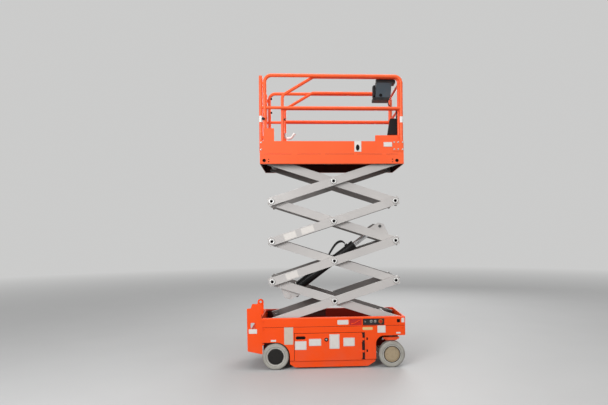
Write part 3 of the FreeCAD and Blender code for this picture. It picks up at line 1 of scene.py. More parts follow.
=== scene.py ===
"""Electric scissor lift, raised: finishes, small fittings, hoses, studio and camera over its frame."""
import json
import logging
import math
from dataclasses import dataclass
from enum import Enum
from typing import Dict, List, Optional, Sequence, Tuple, Union

import bmesh
import bpy
from mathutils import Matrix, Vector

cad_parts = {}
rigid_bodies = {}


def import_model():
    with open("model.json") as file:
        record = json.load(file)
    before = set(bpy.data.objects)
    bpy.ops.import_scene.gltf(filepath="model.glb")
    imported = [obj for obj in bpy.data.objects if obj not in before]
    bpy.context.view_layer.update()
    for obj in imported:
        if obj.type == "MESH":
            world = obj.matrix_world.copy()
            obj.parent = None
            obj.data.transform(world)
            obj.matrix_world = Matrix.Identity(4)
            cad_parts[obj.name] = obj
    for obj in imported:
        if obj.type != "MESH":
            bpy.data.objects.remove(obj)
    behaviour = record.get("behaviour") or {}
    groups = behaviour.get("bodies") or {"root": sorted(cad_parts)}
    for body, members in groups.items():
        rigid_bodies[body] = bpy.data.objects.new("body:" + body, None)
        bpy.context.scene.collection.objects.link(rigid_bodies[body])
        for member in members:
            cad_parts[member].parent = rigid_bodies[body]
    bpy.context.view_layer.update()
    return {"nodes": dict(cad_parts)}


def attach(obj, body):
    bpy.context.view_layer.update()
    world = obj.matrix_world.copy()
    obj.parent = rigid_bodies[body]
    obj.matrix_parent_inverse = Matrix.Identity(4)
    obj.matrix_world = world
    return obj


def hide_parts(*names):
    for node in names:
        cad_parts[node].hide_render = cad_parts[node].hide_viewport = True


for leftover in list(bpy.data.objects):
    bpy.data.objects.remove(leftover)
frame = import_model()

LOG = logging.getLogger("scissor_lift")
Colour = Tuple[float, float, float]
Spot = Tuple[float, float, float]
Flat = Tuple[float, float]
Socket = bpy.types.NodeSocket
Number = Union[float, "Wire"]
SOFT_EDGE = 0.0004  # metres over which one painted colour gives way to the next


# Shader and geometry trees

class Wire:
    """Number socket of a node tree that takes part in sums written in Python."""

    def __init__(self, bench: "Bench", socket: Socket) -> None:
        """Keep the bench that the socket's node stands on."""
        self.bench = bench
        self.socket = socket

    def work(self, operation: str, *values: Number, clamp: bool = False) -> "Wire":
        """Put one Math node on the bench.

        Args:
            operation: The Math node's operation.
            values: Its inputs in order, numbers or wires.
            clamp: Hold the result between 0 and 1.

        Returns:
            The node's result.
        """
        node = self.bench.add("ShaderNodeMath", {"operation": operation, "use_clamp": clamp},
                              dict(enumerate(values)))
        return Wire(self.bench, node.outputs[0])

    def __add__(self, other: Number) -> "Wire":
        """Sum."""
        return self.work("ADD", self, other)

    __radd__ = __add__

    def __sub__(self, other: Number) -> "Wire":
        """Difference."""
        return self.work("SUBTRACT", self, other)

    def __rsub__(self, other: Number) -> "Wire":
        """Difference with the wire on the right."""
        return self.work("SUBTRACT", other, self)

    def __mul__(self, other: Number) -> "Wire":
        """Product."""
        return self.work("MULTIPLY", self, other)

    __rmul__ = __mul__

    def root(self) -> "Wire":
        """Square root."""
        return self.work("SQRT", self)

    def top(self, other: Number) -> "Wire":
        """The larger of two."""
        return self.work("MAXIMUM", self, other)

    def rise(self, low: float, high: float) -> "Wire":
        """Go from 0 at low to 1 at high, and stay there on both sides; high may be the lower of the two."""
        return self.work("MULTIPLY_ADD", self, 1 / (high - low), -low / (high - low), clamp=True)

    def within(self, low: float, high: float, soft: float = SOFT_EDGE) -> "Wire":
        """Mask that is 1 between two numbers."""
        off, half = self - (low + high) / 2, (high - low) / 2
        return off.work("ABSOLUTE", off).rise(half + soft, half)


class Bench:
    """Workbench of one node tree: every node on it comes from its one method."""

    def __init__(self, tree: bpy.types.NodeTree) -> None:
        """Keep the tree."""
        self.tree = tree

    def feed(self, socket: Socket, value: object) -> None:
        """Give an input its wire, socket or plain value."""
        value = value.socket if isinstance(value, Wire) else value
        if isinstance(value, Socket):
            self.tree.links.new(value, socket)
        else:
            socket.default_value = value

    def add(self, kind: str, settings: Optional[Dict[str, object]] = None,
            inputs: Optional[Dict[Union[int, str], object]] = None) -> bpy.types.Node:
        """Add one node.

        Args:
            kind: The node's type.
            settings: Its properties, and "stops" for the stops of a ramp, set before the inputs.
            inputs: Values, sockets or wires by input name or number.

        Returns:
            The new node.
        """
        node = self.tree.nodes.new(kind)
        for name, value in (settings or {}).items():
            if name == "stops":
                ramp = node.color_ramp.elements
                while len(ramp) < len(value):
                    ramp.new(0.5)
                for stop, (at, shade) in zip(ramp, value):
                    stop.position = at
                    stop.color = (*shade, 1)
            else:
                setattr(node, name, value)
        for key, value in (inputs or {}).items():
            self.feed(node.inputs[key], value)
        return node


class Surface(Bench):
    """Bench of one material, with a Principled shader on it."""

    def __init__(self, name: str) -> None:
        """Start an empty material."""
        self.material = bpy.data.materials.new(name)
        self.material.use_nodes = True
        super().__init__(self.material.node_tree)
        self.tree.nodes.clear()
        self.shader = self.add("ShaderNodeBsdfPrincipled")
        self.add("ShaderNodeOutputMaterial", None, {"Surface": self.shader.outputs[0]})
        self.place = self.add("ShaderNodeTexCoord").outputs["Object"]

    def split(self, vector: Socket) -> List[Wire]:
        """X, Y and Z of a vector."""
        return [Wire(self, out) for out in self.add("ShaderNodeSeparateXYZ", None, {0: vector}).outputs]

    def axes(self, middle: Spot = (0, 0, 0)) -> List[Wire]:
        """X, Y and Z of the surface point, measured from a middle."""
        moved = self.add("ShaderNodeMapping", {"vector_type": "POINT"},
                         {"Vector": self.place, "Location": tuple(-v for v in middle)})
        return self.split(moved.outputs[0])

    def facing(self) -> List[Wire]:
        """X, Y and Z of the surface normal."""
        return self.split(self.add("ShaderNodeNewGeometry").outputs["Normal"])

    def noise(self, scale: float, detail: float = 2.0, stretch: Spot = (1, 1, 1)) -> Wire:
        """Cloudy value between 0 and 1.

        Args:
            scale: Clouds in a metre.
            detail: Octaves.
            stretch: How much finer the clouds are along each axis.

        Returns:
            The value.
        """
        spread = self.add("ShaderNodeMapping", None, {"Vector": self.place, "Scale": stretch})
        node = self.add("ShaderNodeTexNoise", {"noise_dimensions": "3D"},
                        {"Vector": spread.outputs[0], "Scale": scale, "Detail": detail})
        return Wire(self, node.outputs[0])

    def pits(self, scale: float) -> Wire:
        """Distance to the nearest of many scattered points."""
        node = self.add("ShaderNodeTexVoronoi", {"feature": "F1"}, {"Vector": self.place, "Scale": scale})
        return Wire(self, node.outputs["Distance"])

    def tint(self, part: Number, low: object, high: object) -> Socket:
        """Mix of two colours, each a triple or a socket."""
        ends = [(*c, 1) if isinstance(c, tuple) else c for c in (low, high)]
        node = self.add("ShaderNodeMix", {"data_type": "RGBA"}, {0: part, 6: ends[0], 7: ends[1]})
        return node.outputs[2]

    def edges(self, radius: float) -> Tuple[Wire, Socket]:
        """Outer edges of the solid.

        Args:
            radius: How far from an edge it counts, in metres.

        Returns:
            A mask that grows towards the edge, and a normal that rounds it.
        """
        soft = self.add("ShaderNodeBevel", {"samples": 4}, {"Radius": radius}).outputs[0]
        sharp = self.add("ShaderNodeNewGeometry").outputs["Normal"]
        dot = self.add("ShaderNodeVectorMath", {"operation": "DOT_PRODUCT"}, {0: soft, 1: sharp})
        return (1 - Wire(self, dot.outputs["Value"])).rise(0.0, 0.25), soft

    def bump(self, height: Wire, deep: float, normal: Optional[Socket] = None) -> None:
        """Raise the surface by a height from 0 to 1 that stands for a depth in metres."""
        more = {"Normal": normal} if normal else {}
        node = self.add("ShaderNodeBump", None, {"Height": height, "Distance": deep, "Strength": 1.0, **more})
        self.dress(Normal=node.outputs[0])

    def dress(self, **sockets: object) -> None:
        """Set the shader's sockets, with _ for a space in their names and colours as triples."""
        for name, value in sockets.items():
            self.feed(self.shader.inputs[name.replace("_", " ")],
                      (*value, 1) if isinstance(value, tuple) else value)


# Finishes

DUST = (0.33, 0.27, 0.22)
BARE_STEEL = (0.20, 0.17, 0.15)
OIL = (0.045, 0.036, 0.028)
WORN_PLASTIC = (0.10, 0.09, 0.08)
WORN_RUBBER = (0.05, 0.047, 0.043)
RIM_WHITE = (0.78, 0.77, 0.72)


def toned(colour: Colour, times: float, plus: float = 0.0) -> Colour:
    """Colour made darker or lighter."""
    return tuple(min(1.0, c * times + plus) for c in colour)


@dataclass(frozen=True)
class Zone:
    """Box of a node that has its own colour."""

    colour: Colour
    low: Spot
    high: Spot

    def mask(self, s: Surface) -> Wire:
        """Value that is 1 inside the box."""
        x, y, z = (axis.within(low, high) for axis, low, high in zip(s.axes(), self.low, self.high))
        return x * y * z


@dataclass(frozen=True)
class Disc:
    """Round spot of a node that has its own colour, between two depths across Y."""

    colour: Colour
    middle: Flat
    radius: float
    low: float
    high: float

    def mask(self, s: Surface) -> Wire:
        """Value that is 1 inside the spot."""
        x, y, z = s.axes((self.middle[0], 0, self.middle[1]))
        spot = (x * x + z * z).root().rise(self.radius + SOFT_EDGE, self.radius)
        return spot * y.within(self.low, self.high)


class Finish:
    """Recipe of one material."""

    def make(self, name: str) -> bpy.types.Material:
        """Mix the material."""
        s = Surface(name)
        self.coat(s)
        return s.material

    def coat(self, s: Surface) -> None:
        """Put the recipe's nodes on a surface."""
        raise NotImplementedError


@dataclass(frozen=True)
class Enamel(Finish):
    """Sprayed enamel on steel, with orange peel, grime low down, bare steel at a few rubbed edges, a painted
    highlight of lighter paint on other edges, and painted shade in its zones and, with an inner colour, on
    faces that look inwards or down.
    """

    colour: Colour
    shade: Colour
    rough: float = 0.36
    grime: float = 0.35
    chips: float = 0.6
    gloss: float = 0.2
    zones: Tuple[Zone, ...] = ()
    # painted shade: colour for faces that look towards the middle and faces that look down
    inside: Optional[Colour] = None

    def coat(self, s: Surface) -> None:
        """Put the recipe's nodes on a surface."""
        edge, soft = s.edges(0.003)
        tone = s.noise(2.3, 3.0)
        base = s.tint(tone.rise(0.32, 0.70), self.colour, self.shade)
        _, y, high = s.axes()
        _, across, up = s.facing()
        dust = (s.noise(5.0, 4.0).rise(0.35, 0.75) * high.rise(0.45, 0.02)
                + up.rise(0.6, 0.95) * s.noise(9.0, 3.0).rise(0.40, 0.72) * 0.35) * self.grime
        base = s.tint(dust, base, DUST)
        for zone in self.zones:
            base = s.tint(zone.mask(s), base, zone.colour)
        # painted shade: faces turned towards the middle plane and faces turned down take the inner colour, as
        # shade
        if self.inside:
            inner_shade_mask = (y * across).rise(-0.02, -0.12)
            inner_shade_mask = inner_shade_mask.top(up.rise(-0.6, -0.9)) * (0.8 + tone.rise(0.3, 0.7) * 0.2)
            base = s.tint(inner_shade_mask, base, self.inside)
        rub = s.noise(60.0, 4.0)
        # painted highlight: a lighter tone of the paint on scattered edges
        lift = edge * rub.rise(0.50, 0.62)
        bare = edge.rise(0.35, 0.9) * rub.rise(0.60, 0.66) * self.chips
        base = s.tint(lift * 0.35, base, toned(self.colour, 1.15, 0.03))
        base = s.tint(bare, base, BARE_STEEL)
        s.bump(s.noise(420.0, 2.0), 0.00012, soft)
        rough = self.rough + s.noise(14.0, 3.0).rise(0.3, 0.7) * 0.10 + dust * 0.35
        s.dress(Base_Color=base, Roughness=rough, Coat_Weight=0.12, Coat_Roughness=0.16,
                Specular_IOR_Level=self.gloss)


@dataclass(frozen=True)
class Metal(Finish):
    """Bare or blacked steel with drawn lines along one axis and a thin coat of oil."""

    colour: Colour
    rough: float = 0.35
    shine: float = 1.0
    lines: Spot = (1.0, 30.0, 30.0)
    grime: float = 0.3

    def coat(self, s: Surface) -> None:
        """Put the recipe's nodes on a surface."""
        _, soft = s.edges(0.0015)
        drawn = s.noise(14.0, 4.0, self.lines)
        dirt = s.noise(11.0, 5.0).rise(0.48, 0.78) * self.grime
        base = s.tint(drawn.rise(0.3, 0.7), self.colour, toned(self.colour, 0.78))
        base = s.tint(dirt, base, OIL)
        s.bump(drawn, 0.00008, soft)
        s.dress(Base_Color=base, Metallic=self.shine * (1 - dirt),
                Roughness=self.rough + drawn.rise(0.3, 0.7) * 0.12 + dirt * 0.4)


@dataclass(frozen=True)
class Moulded(Finish):
    """Moulded plastic with a fine spark-eroded grain and a painted highlight of lighter plastic on its edges.
    """

    colour: Colour
    rough: float = 0.5
    grain: float = 1400.0
    deep: float = 0.00010
    gloss: float = 0.45

    def coat(self, s: Surface) -> None:
        """Put the recipe's nodes on a surface."""
        edge, soft = s.edges(0.002)
        cloud = s.noise(7.0, 4.0).rise(0.35, 0.75)
        base = s.tint(cloud * 0.5, self.colour, toned(self.colour, 0.7, 0.01))
        # painted highlight: edges take a lighter tone of the plastic
        base = s.tint(edge * 0.25, base, toned(self.colour, 1.3, 0.02))
        s.bump(s.pits(self.grain), self.deep, soft)
        s.dress(Base_Color=base, Roughness=self.rough + cloud * 0.12, Specular_IOR_Level=self.gloss)


@dataclass(frozen=True)
class Tread(Finish):
    """Pale non-marking rubber: moulded rings and fine ticks on the sidewall, floor dirt on the tread."""

    middle: Spot
    colour: Colour = (0.40, 0.385, 0.345)
    dirt: Colour = (0.17, 0.15, 0.125)
    rim: float = 0.1000
    crown: float = 0.1524

    def coat(self, s: Surface) -> None:
        """Put the recipe's nodes on a surface."""
        x, y, z = s.axes(self.middle)
        out = (x * x + z * z).root()
        turn = x.work("ARCTAN2", z, x)
        rings = out.within(self.rim + 0.010, self.rim + 0.012, 0.0012) + out.within(0.137, 0.139, 0.0012)
        ticks = turn.work("SINE", turn * 96).rise(0.2, 0.5) * out.within(0.1415, 0.1475, 0.001)
        worn = s.noise(26.0, 5.0)
        floor_dirt = out.rise(self.crown - 0.012, self.crown - 0.002) * worn.rise(0.25, 0.6)
        cloud = s.noise(9.0, 5.0).rise(0.42, 0.78) * 0.45
        base = s.tint(cloud, self.colour, self.dirt)
        base = s.tint(floor_dirt * 0.7, base, self.dirt)
        base = s.tint(rings * 0.45, base, self.dirt)
        base = s.tint(out.rise(self.rim + 0.005, self.rim + 0.001) * 0.65, base, RIM_WHITE)
        s.bump(1 - rings * 0.8 + ticks * 0.5 + s.noise(300.0, 2.0) * 0.15, 0.0008)
        s.dress(Base_Color=base, Roughness=0.78 + cloud * 0.2, Specular_IOR_Level=0.3)


@dataclass(frozen=True)
class HubFace(Finish):
    """Wheel centre whose paint changes at a radius: a face and a ring round it."""

    middle: Spot
    face: Colour
    ring: Colour
    turn_at: float
    rough: float = 0.45

    def coat(self, s: Surface) -> None:
        """Put the recipe's nodes on a surface."""
        x, _, z = s.axes(self.middle)
        out = (x * x + z * z).root()
        _, soft = s.edges(0.0015)
        spun = out.work("SINE", out * 5200).rise(-1.0, 1.0)
        scuff = s.noise(34.0, 5.0).rise(0.5, 0.72)
        base = s.tint(out.rise(self.turn_at, self.turn_at + 0.0015), self.face, self.ring)
        base = s.tint(scuff * 0.4, base, toned(self.face, 0.55))
        base = s.tint(out.within(0.062, 0.0635, 0.0008) * 0.5, base, toned(self.face, 0.4))
        s.bump(spun, 0.00004, soft)
        s.dress(Base_Color=base, Roughness=self.rough + scuff * 0.2, Specular_IOR_Level=0.25)


@dataclass(frozen=True)
class Vinyl(Finish):
    """Blank printed label: a printed frame line inside its rim, read from the piece's rim attribute."""

    paper: Colour
    ink: Colour
    rough: float = 0.42

    def coat(self, s: Surface) -> None:
        """Put the recipe's nodes on a surface."""
        rim = Wire(s, s.add("ShaderNodeAttribute", {"attribute_name": "rim"}).outputs["Fac"])
        age = s.noise(30.0, 4.0).rise(0.4, 0.8)
        base = s.tint(age * 0.35, self.paper, toned(self.paper, 0.82))
        base = s.tint(rim.within(0.45, 0.75, 0.06) * 0.55, base, self.ink)
        s.bump(s.noise(600.0, 2.0), 0.00003)
        s.dress(Base_Color=base, Roughness=self.rough + age * 0.15)


@dataclass(frozen=True)
class Zoned(Finish):
    """Moulded plastic of one colour, with zones of other colours painted over it in order."""

    colour: Colour
    zones: Tuple[Zone, ...]
    rough: float = 0.42
    grain: float = 1300.0

    def coat(self, s: Surface) -> None:
        """Put the recipe's nodes on a surface."""
        _, soft = s.edges(0.0015)
        cloud = s.noise(12.0, 4.0).rise(0.4, 0.8)
        base: object = self.colour
        for zone in self.zones:
            base = s.tint(zone.mask(s), base, zone.colour)
        base = s.tint(cloud * 0.2, base, WORN_PLASTIC)
        s.bump(s.pits(self.grain), 0.00008, soft)
        s.dress(Base_Color=base, Roughness=self.rough + cloud * 0.15, Specular_IOR_Level=0.25)


@dataclass(frozen=True)
class Braid(Finish):
    """Black hydraulic hose: fine cloth impression in the rubber cover."""

    colour: Colour = (0.014, 0.014, 0.015)

    def coat(self, s: Surface) -> None:
        """Put the recipe's nodes on a surface."""
        weave = s.pits(900.0)
        wipe = s.noise(20.0, 4.0).rise(0.4, 0.75)
        base = s.tint(wipe * 0.5, self.colour, WORN_RUBBER)
        s.bump(weave, 0.0002)
        s.dress(Base_Color=base, Roughness=0.45 + wipe * 0.25, Specular_IOR_Level=0.25)


ORANGE, ORANGE_DEEP = (0.96, 0.084, 0.007), (0.92, 0.074, 0.006)
# painted light: the platform's orange is a paler copy of the chassis orange, for the stronger light on the
# platform
CAGE_LIT, CAGE_LIT_DEEP = (0.95, 0.134, 0.040), (0.91, 0.118, 0.033)
# painted shade: dark red that stands for the orange paint in shade inside the well
SHADE_RED = (0.20, 0.011, 0.004)
BOX_BLACK = (0.012, 0.012, 0.013)
REAR_WHEEL, FRONT_WHEEL = (-0.59504, 0.0, 0.1524), (0.760, 0.0, 0.1524)


def both_sides(colour: Colour, x: Flat, y: Flat, z: Flat) -> Tuple[Zone, ...]:
    """The same box on both long sides, from its limits along X, out from the middle and along Z."""
    return tuple(Zone(colour, (x[0], low, z[0]), (x[1], high, z[1])) for low, high in ((-y[1], -y[0]), y))


# painted shade: near-black boxes on the sides where the hinge slots are
HINGE_SLOT_SHADE = sum((both_sides((0.012, 0.010, 0.010), (0.412, 0.4405), (0.3795, 0.42), z)
                   for z in ((0.101, 0.186), (0.212, 0.326), (0.355, 0.417))), ())
# painted shade: a dark orange line along the side groove
GROOVE_SHADE = both_sides((0.20, 0.010, 0.003), (-0.742, 0.910), (0.36, 0.3797), (0.4886, 0.4932))
# painted shade: near-black boxes in the grip slot on both sides
GRIP_SLOT_SHADE = both_sides((0.010, 0.008, 0.008), (-0.3645, -0.2455), (0.3640, 0.3796), (0.3455, 0.3865))

FINISHES: Dict[str, Finish] = {
    # painted shade: dark zones in the hinge slots and the grip slot
    "chassis_enamel": Enamel(ORANGE, ORANGE_DEEP, grime=0.14, zones=HINGE_SLOT_SHADE + GRIP_SLOT_SHADE),
    "well_enamel": Enamel(ORANGE, ORANGE_DEEP, grime=0.14, zones=HINGE_SLOT_SHADE + GROOVE_SHADE + (
        # painted shade: the well's inner faces take a dark red, as in shade
        Zone(SHADE_RED, (-0.745, -0.352, 0.44), (0.86, 0.352, 0.5955)),
        Zone(SHADE_RED, (-0.90, -0.375, 0.10), (0.90, 0.375, 0.44)))),
    "platform_enamel": Enamel(CAGE_LIT, CAGE_LIT_DEEP, rough=0.34, grime=0.2, zones=(
        # painted shade: the inner faces below the deck top are dark red-brown, as in shade
        Zone((0.040, 0.010, 0.006), (-0.7512, -0.3682, 2.3815), (0.9162, 0.3682, 2.4915)),)),
    "knuckle_enamel": Enamel(ORANGE, ORANGE_DEEP, grime=0.6),
    # painted shade: the arms' inner faces and undersides are dark grey
    "arm_enamel": Enamel((0.55, 0.525, 0.505), (0.50, 0.475, 0.46), rough=0.42, grime=0.2, chips=0.3,
                         gloss=0.35, inside=(0.125, 0.115, 0.108)),
    "dark_steel": Metal((0.10, 0.098, 0.096), rough=0.42, shine=0.8),
    "zinc": Metal((0.62, 0.61, 0.58), rough=0.30, grime=0.15),
    "chrome": Metal((0.72, 0.72, 0.73), rough=0.10, lines=(30.0, 1.0, 30.0), grime=0.05),
    "tyre_rear": Tread(REAR_WHEEL),
    "tyre_front": Tread(FRONT_WHEEL),
    "hub_rear": HubFace(REAR_WHEEL, (0.011, 0.010, 0.009), (0.36, 0.34, 0.31), 0.0905),
    "hub_front": HubFace(FRONT_WHEEL, (0.40, 0.315, 0.205), (0.035, 0.032, 0.030), 0.0895),
    "battery_case": Moulded((0.045, 0.045, 0.048), rough=0.55, gloss=0.3),
    # painted shade: the dark steel tracks take the dark red of the orange underside in shade
    "track_steel": Enamel((0.060, 0.016, 0.012), (0.045, 0.012, 0.010), rough=0.6, grime=0.3, chips=0.4,
                          gloss=0.15),
    "pin_steel": Metal((0.80, 0.79, 0.77), rough=0.34, shine=0.45, grime=0.1),
    "cylinder_enamel": Enamel((0.009, 0.009, 0.009), (0.014, 0.013, 0.013), rough=0.34, grime=0.08,
                              gloss=0.15),
    "box_plastic": Zoned((0.052, 0.070, 0.086), (
        Zone(BOX_BLACK, (0.5, -0.4, 3.359), (0.9, 0.0, 3.60)),
        Zone(BOX_BLACK, (0.5, -0.4, 3.00), (0.9, 0.0, 3.1855)),
        Zone(BOX_BLACK, (0.5, -0.4, 3.00), (0.6075, 0.0, 3.60)))),
    "box_black": Moulded((0.010, 0.010, 0.011), rough=0.6, gloss=0.18),
    "panel_plastic": Zoned((0.018, 0.018, 0.019), (
        Disc((0.42, 0.17, 0.02), (0.628, 0.541), 0.0255, -0.3775, -0.3700),
        Disc((0.50, 0.022, 0.010), (0.628, 0.541), 0.0270, -0.50, -0.3776),
        Disc((0.20, 0.20, 0.19), (0.517, 0.541), 0.0200, -0.50, -0.3776),
        Disc((0.30, 0.29, 0.28), (0.564, 0.541), 0.0200, -0.50, -0.3776))),
    "hose_rubber": Braid(),
    "handle_plastic": Moulded((0.80, 0.79, 0.76), rough=0.35),
    "label_white": Vinyl((0.72, 0.68, 0.64), (0.30, 0.29, 0.28)),
    "label_yellow": Vinyl((0.74, 0.50, 0.22), (0.40, 0.20, 0.06)),
    "label_buff": Vinyl((0.60, 0.50, 0.41), (0.52, 0.43, 0.34)),
    # painted shade: near-black that stands for the shade in holes, sockets, slots and gaps; also the own
    # black of a few small parts
    "black_gap": Moulded((0.006, 0.005, 0.005), rough=0.8, gloss=0.1),
    "red_plastic": Moulded((0.55, 0.016, 0.010), rough=0.38),
    "seam_shadow": Moulded((0.30, 0.030, 0.008), rough=0.5),
    "reflector": Moulded((0.80, 0.79, 0.77), rough=0.22, grain=700.0),
    "cell_cap": Moulded((0.50, 0.42, 0.05), rough=0.45),
}
SLOT_FINISH = {
    "chassis_paint": "chassis_enamel", "platform_paint": "platform_enamel", "knuckle_paint": "knuckle_enamel",
    "arm_paint": "arm_enamel", "dark_steel": "dark_steel", "hub_black": "hub_rear", "hub_olive": "hub_front",
    "battery_case": "battery_case", "cylinder_black": "cylinder_enamel", "bright_rod": "chrome",
    "box_slate": "box_plastic", "box_black": "box_black", "panel_black": "panel_plastic",
    "hose_rubber": "hose_rubber", "handle_white": "handle_plastic",
}
NODE_FINISH = {"chassis_frame": "well_enamel", "slide_rails": "track_steel", "deck_tracks": "track_steel",
               **{"tyre_%s_%s" % (end, side): "tyre_" + end
                  for end in ("front", "rear") for side in ("left", "right")}}


class PaintShop:
    """Makes each finish once and gives it out by name."""

    def __init__(self) -> None:
        """Start with no material mixed."""
        self.mixed: Dict[str, bpy.types.Material] = {}

    def get(self, name: str) -> bpy.types.Material:
        """Material of a finish."""
        if name not in self.mixed:
            self.mixed[name] = FINISHES[name].make(name)
        return self.mixed[name]

    def spray_frame(self, nodes: Dict[str, bpy.types.Object]) -> None:
        """Give every CAD node its own finish, or else that of its material slot."""
        for name, obj in nodes.items():
            for place in obj.material_slots:
                kind = place.material.name.split(".")[0]
                place.material = self.get(NODE_FINISH.get(name) or SLOT_FINISH[kind])


SHOP = PaintShop()


# Shapes

class Side(Enum):
    """Long side of the lift: near is the photograph's."""

    NEAR = -1
    FAR = 1

    def out(self, y: float) -> float:
        """Y at a distance out from the middle on this side."""
        return self.value * y


class Along(Enum):
    """Axis that a turned or pushed shape goes along."""

    X = 0
    Y = 1
    Z = 2

    def spot(self, a: float, b: float, t: float) -> Vector:
        """Point at (a, b) across the axis and t along it."""
        return Vector({0: (t, a, b), 1: (a, t, b), 2: (a, b, t)}[self.value])


def spaced(low: float, high: float, count: int) -> List[float]:
    """Numbers evenly spaced from one to another."""
    return [low + (high - low) * i / (count - 1) for i in range(count)]


def arc(middle: Flat, radius: float, start: float, end: float, steps: int) -> List[Flat]:
    """Points on an arc from one angle to another, in degrees, one more than its steps."""
    turns = [math.radians(angle) for angle in spaced(start, end, steps + 1)]
    return [(middle[0] + radius * math.cos(t), middle[1] + radius * math.sin(t)) for t in turns]


def circle(middle: Flat, radius: float, sides: int) -> List[Flat]:
    """Points round a whole circle."""
    return arc(middle, radius, 0, 360, sides)[:-1]


def band(middle: Flat, inner: float, outer: float, start: float, end: float, steps: int) -> List[Flat]:
    """Outline of the part of a ring between two angles."""
    return arc(middle, outer, start, end, steps) + arc(middle, inner, end, start, steps)


def knob(neck: float, radius: float, long: float) -> Tuple[Flat, ...]:
    """Profile of a knob of a given length on a narrower neck."""
    return ((0, 0), (neck, 0), (neck, 0.005), (radius, 0.006), (radius, long - 0.002),
            (radius - 0.0025, long), (0, long))


def drawn_in(outline: Sequence[Flat], by: float) -> List[Flat]:
    """Outline made smaller all round, so that its sides move in by a distance."""
    spans = []
    for axis in (0, 1):
        low, high = min(p[axis] for p in outline), max(p[axis] for p in outline)
        spans.append(((low + high) / 2, 1 - 2 * by / (high - low)))
    return [tuple(mid + (v - mid) * part for v, (mid, part) in zip(p, spans)) for p in outline]


def shown(name: str, data: bpy.types.ID) -> bpy.types.Object:
    """New object of the scene."""
    obj = bpy.data.objects.new(name, data)
    bpy.context.scene.collection.objects.link(obj)
    return obj


def placed(name: str, data: bpy.types.Mesh, finish: str, body: str) -> None:
    """Hang a finished mesh on its body.

    Args:
        name: The piece's name.
        data: Its mesh, in the frame of the whole lift.
        finish: The finish it gets.
        body: The body it rides on.
    """
    data.shade_smooth()
    data.set_sharp_from_angle(angle=math.radians(36))
    data.materials.clear()
    data.materials.append(SHOP.get(finish))
    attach(shown(name, data), body)
    LOG.info("%s on %s: %d faces", name, body, len(data.polygons))


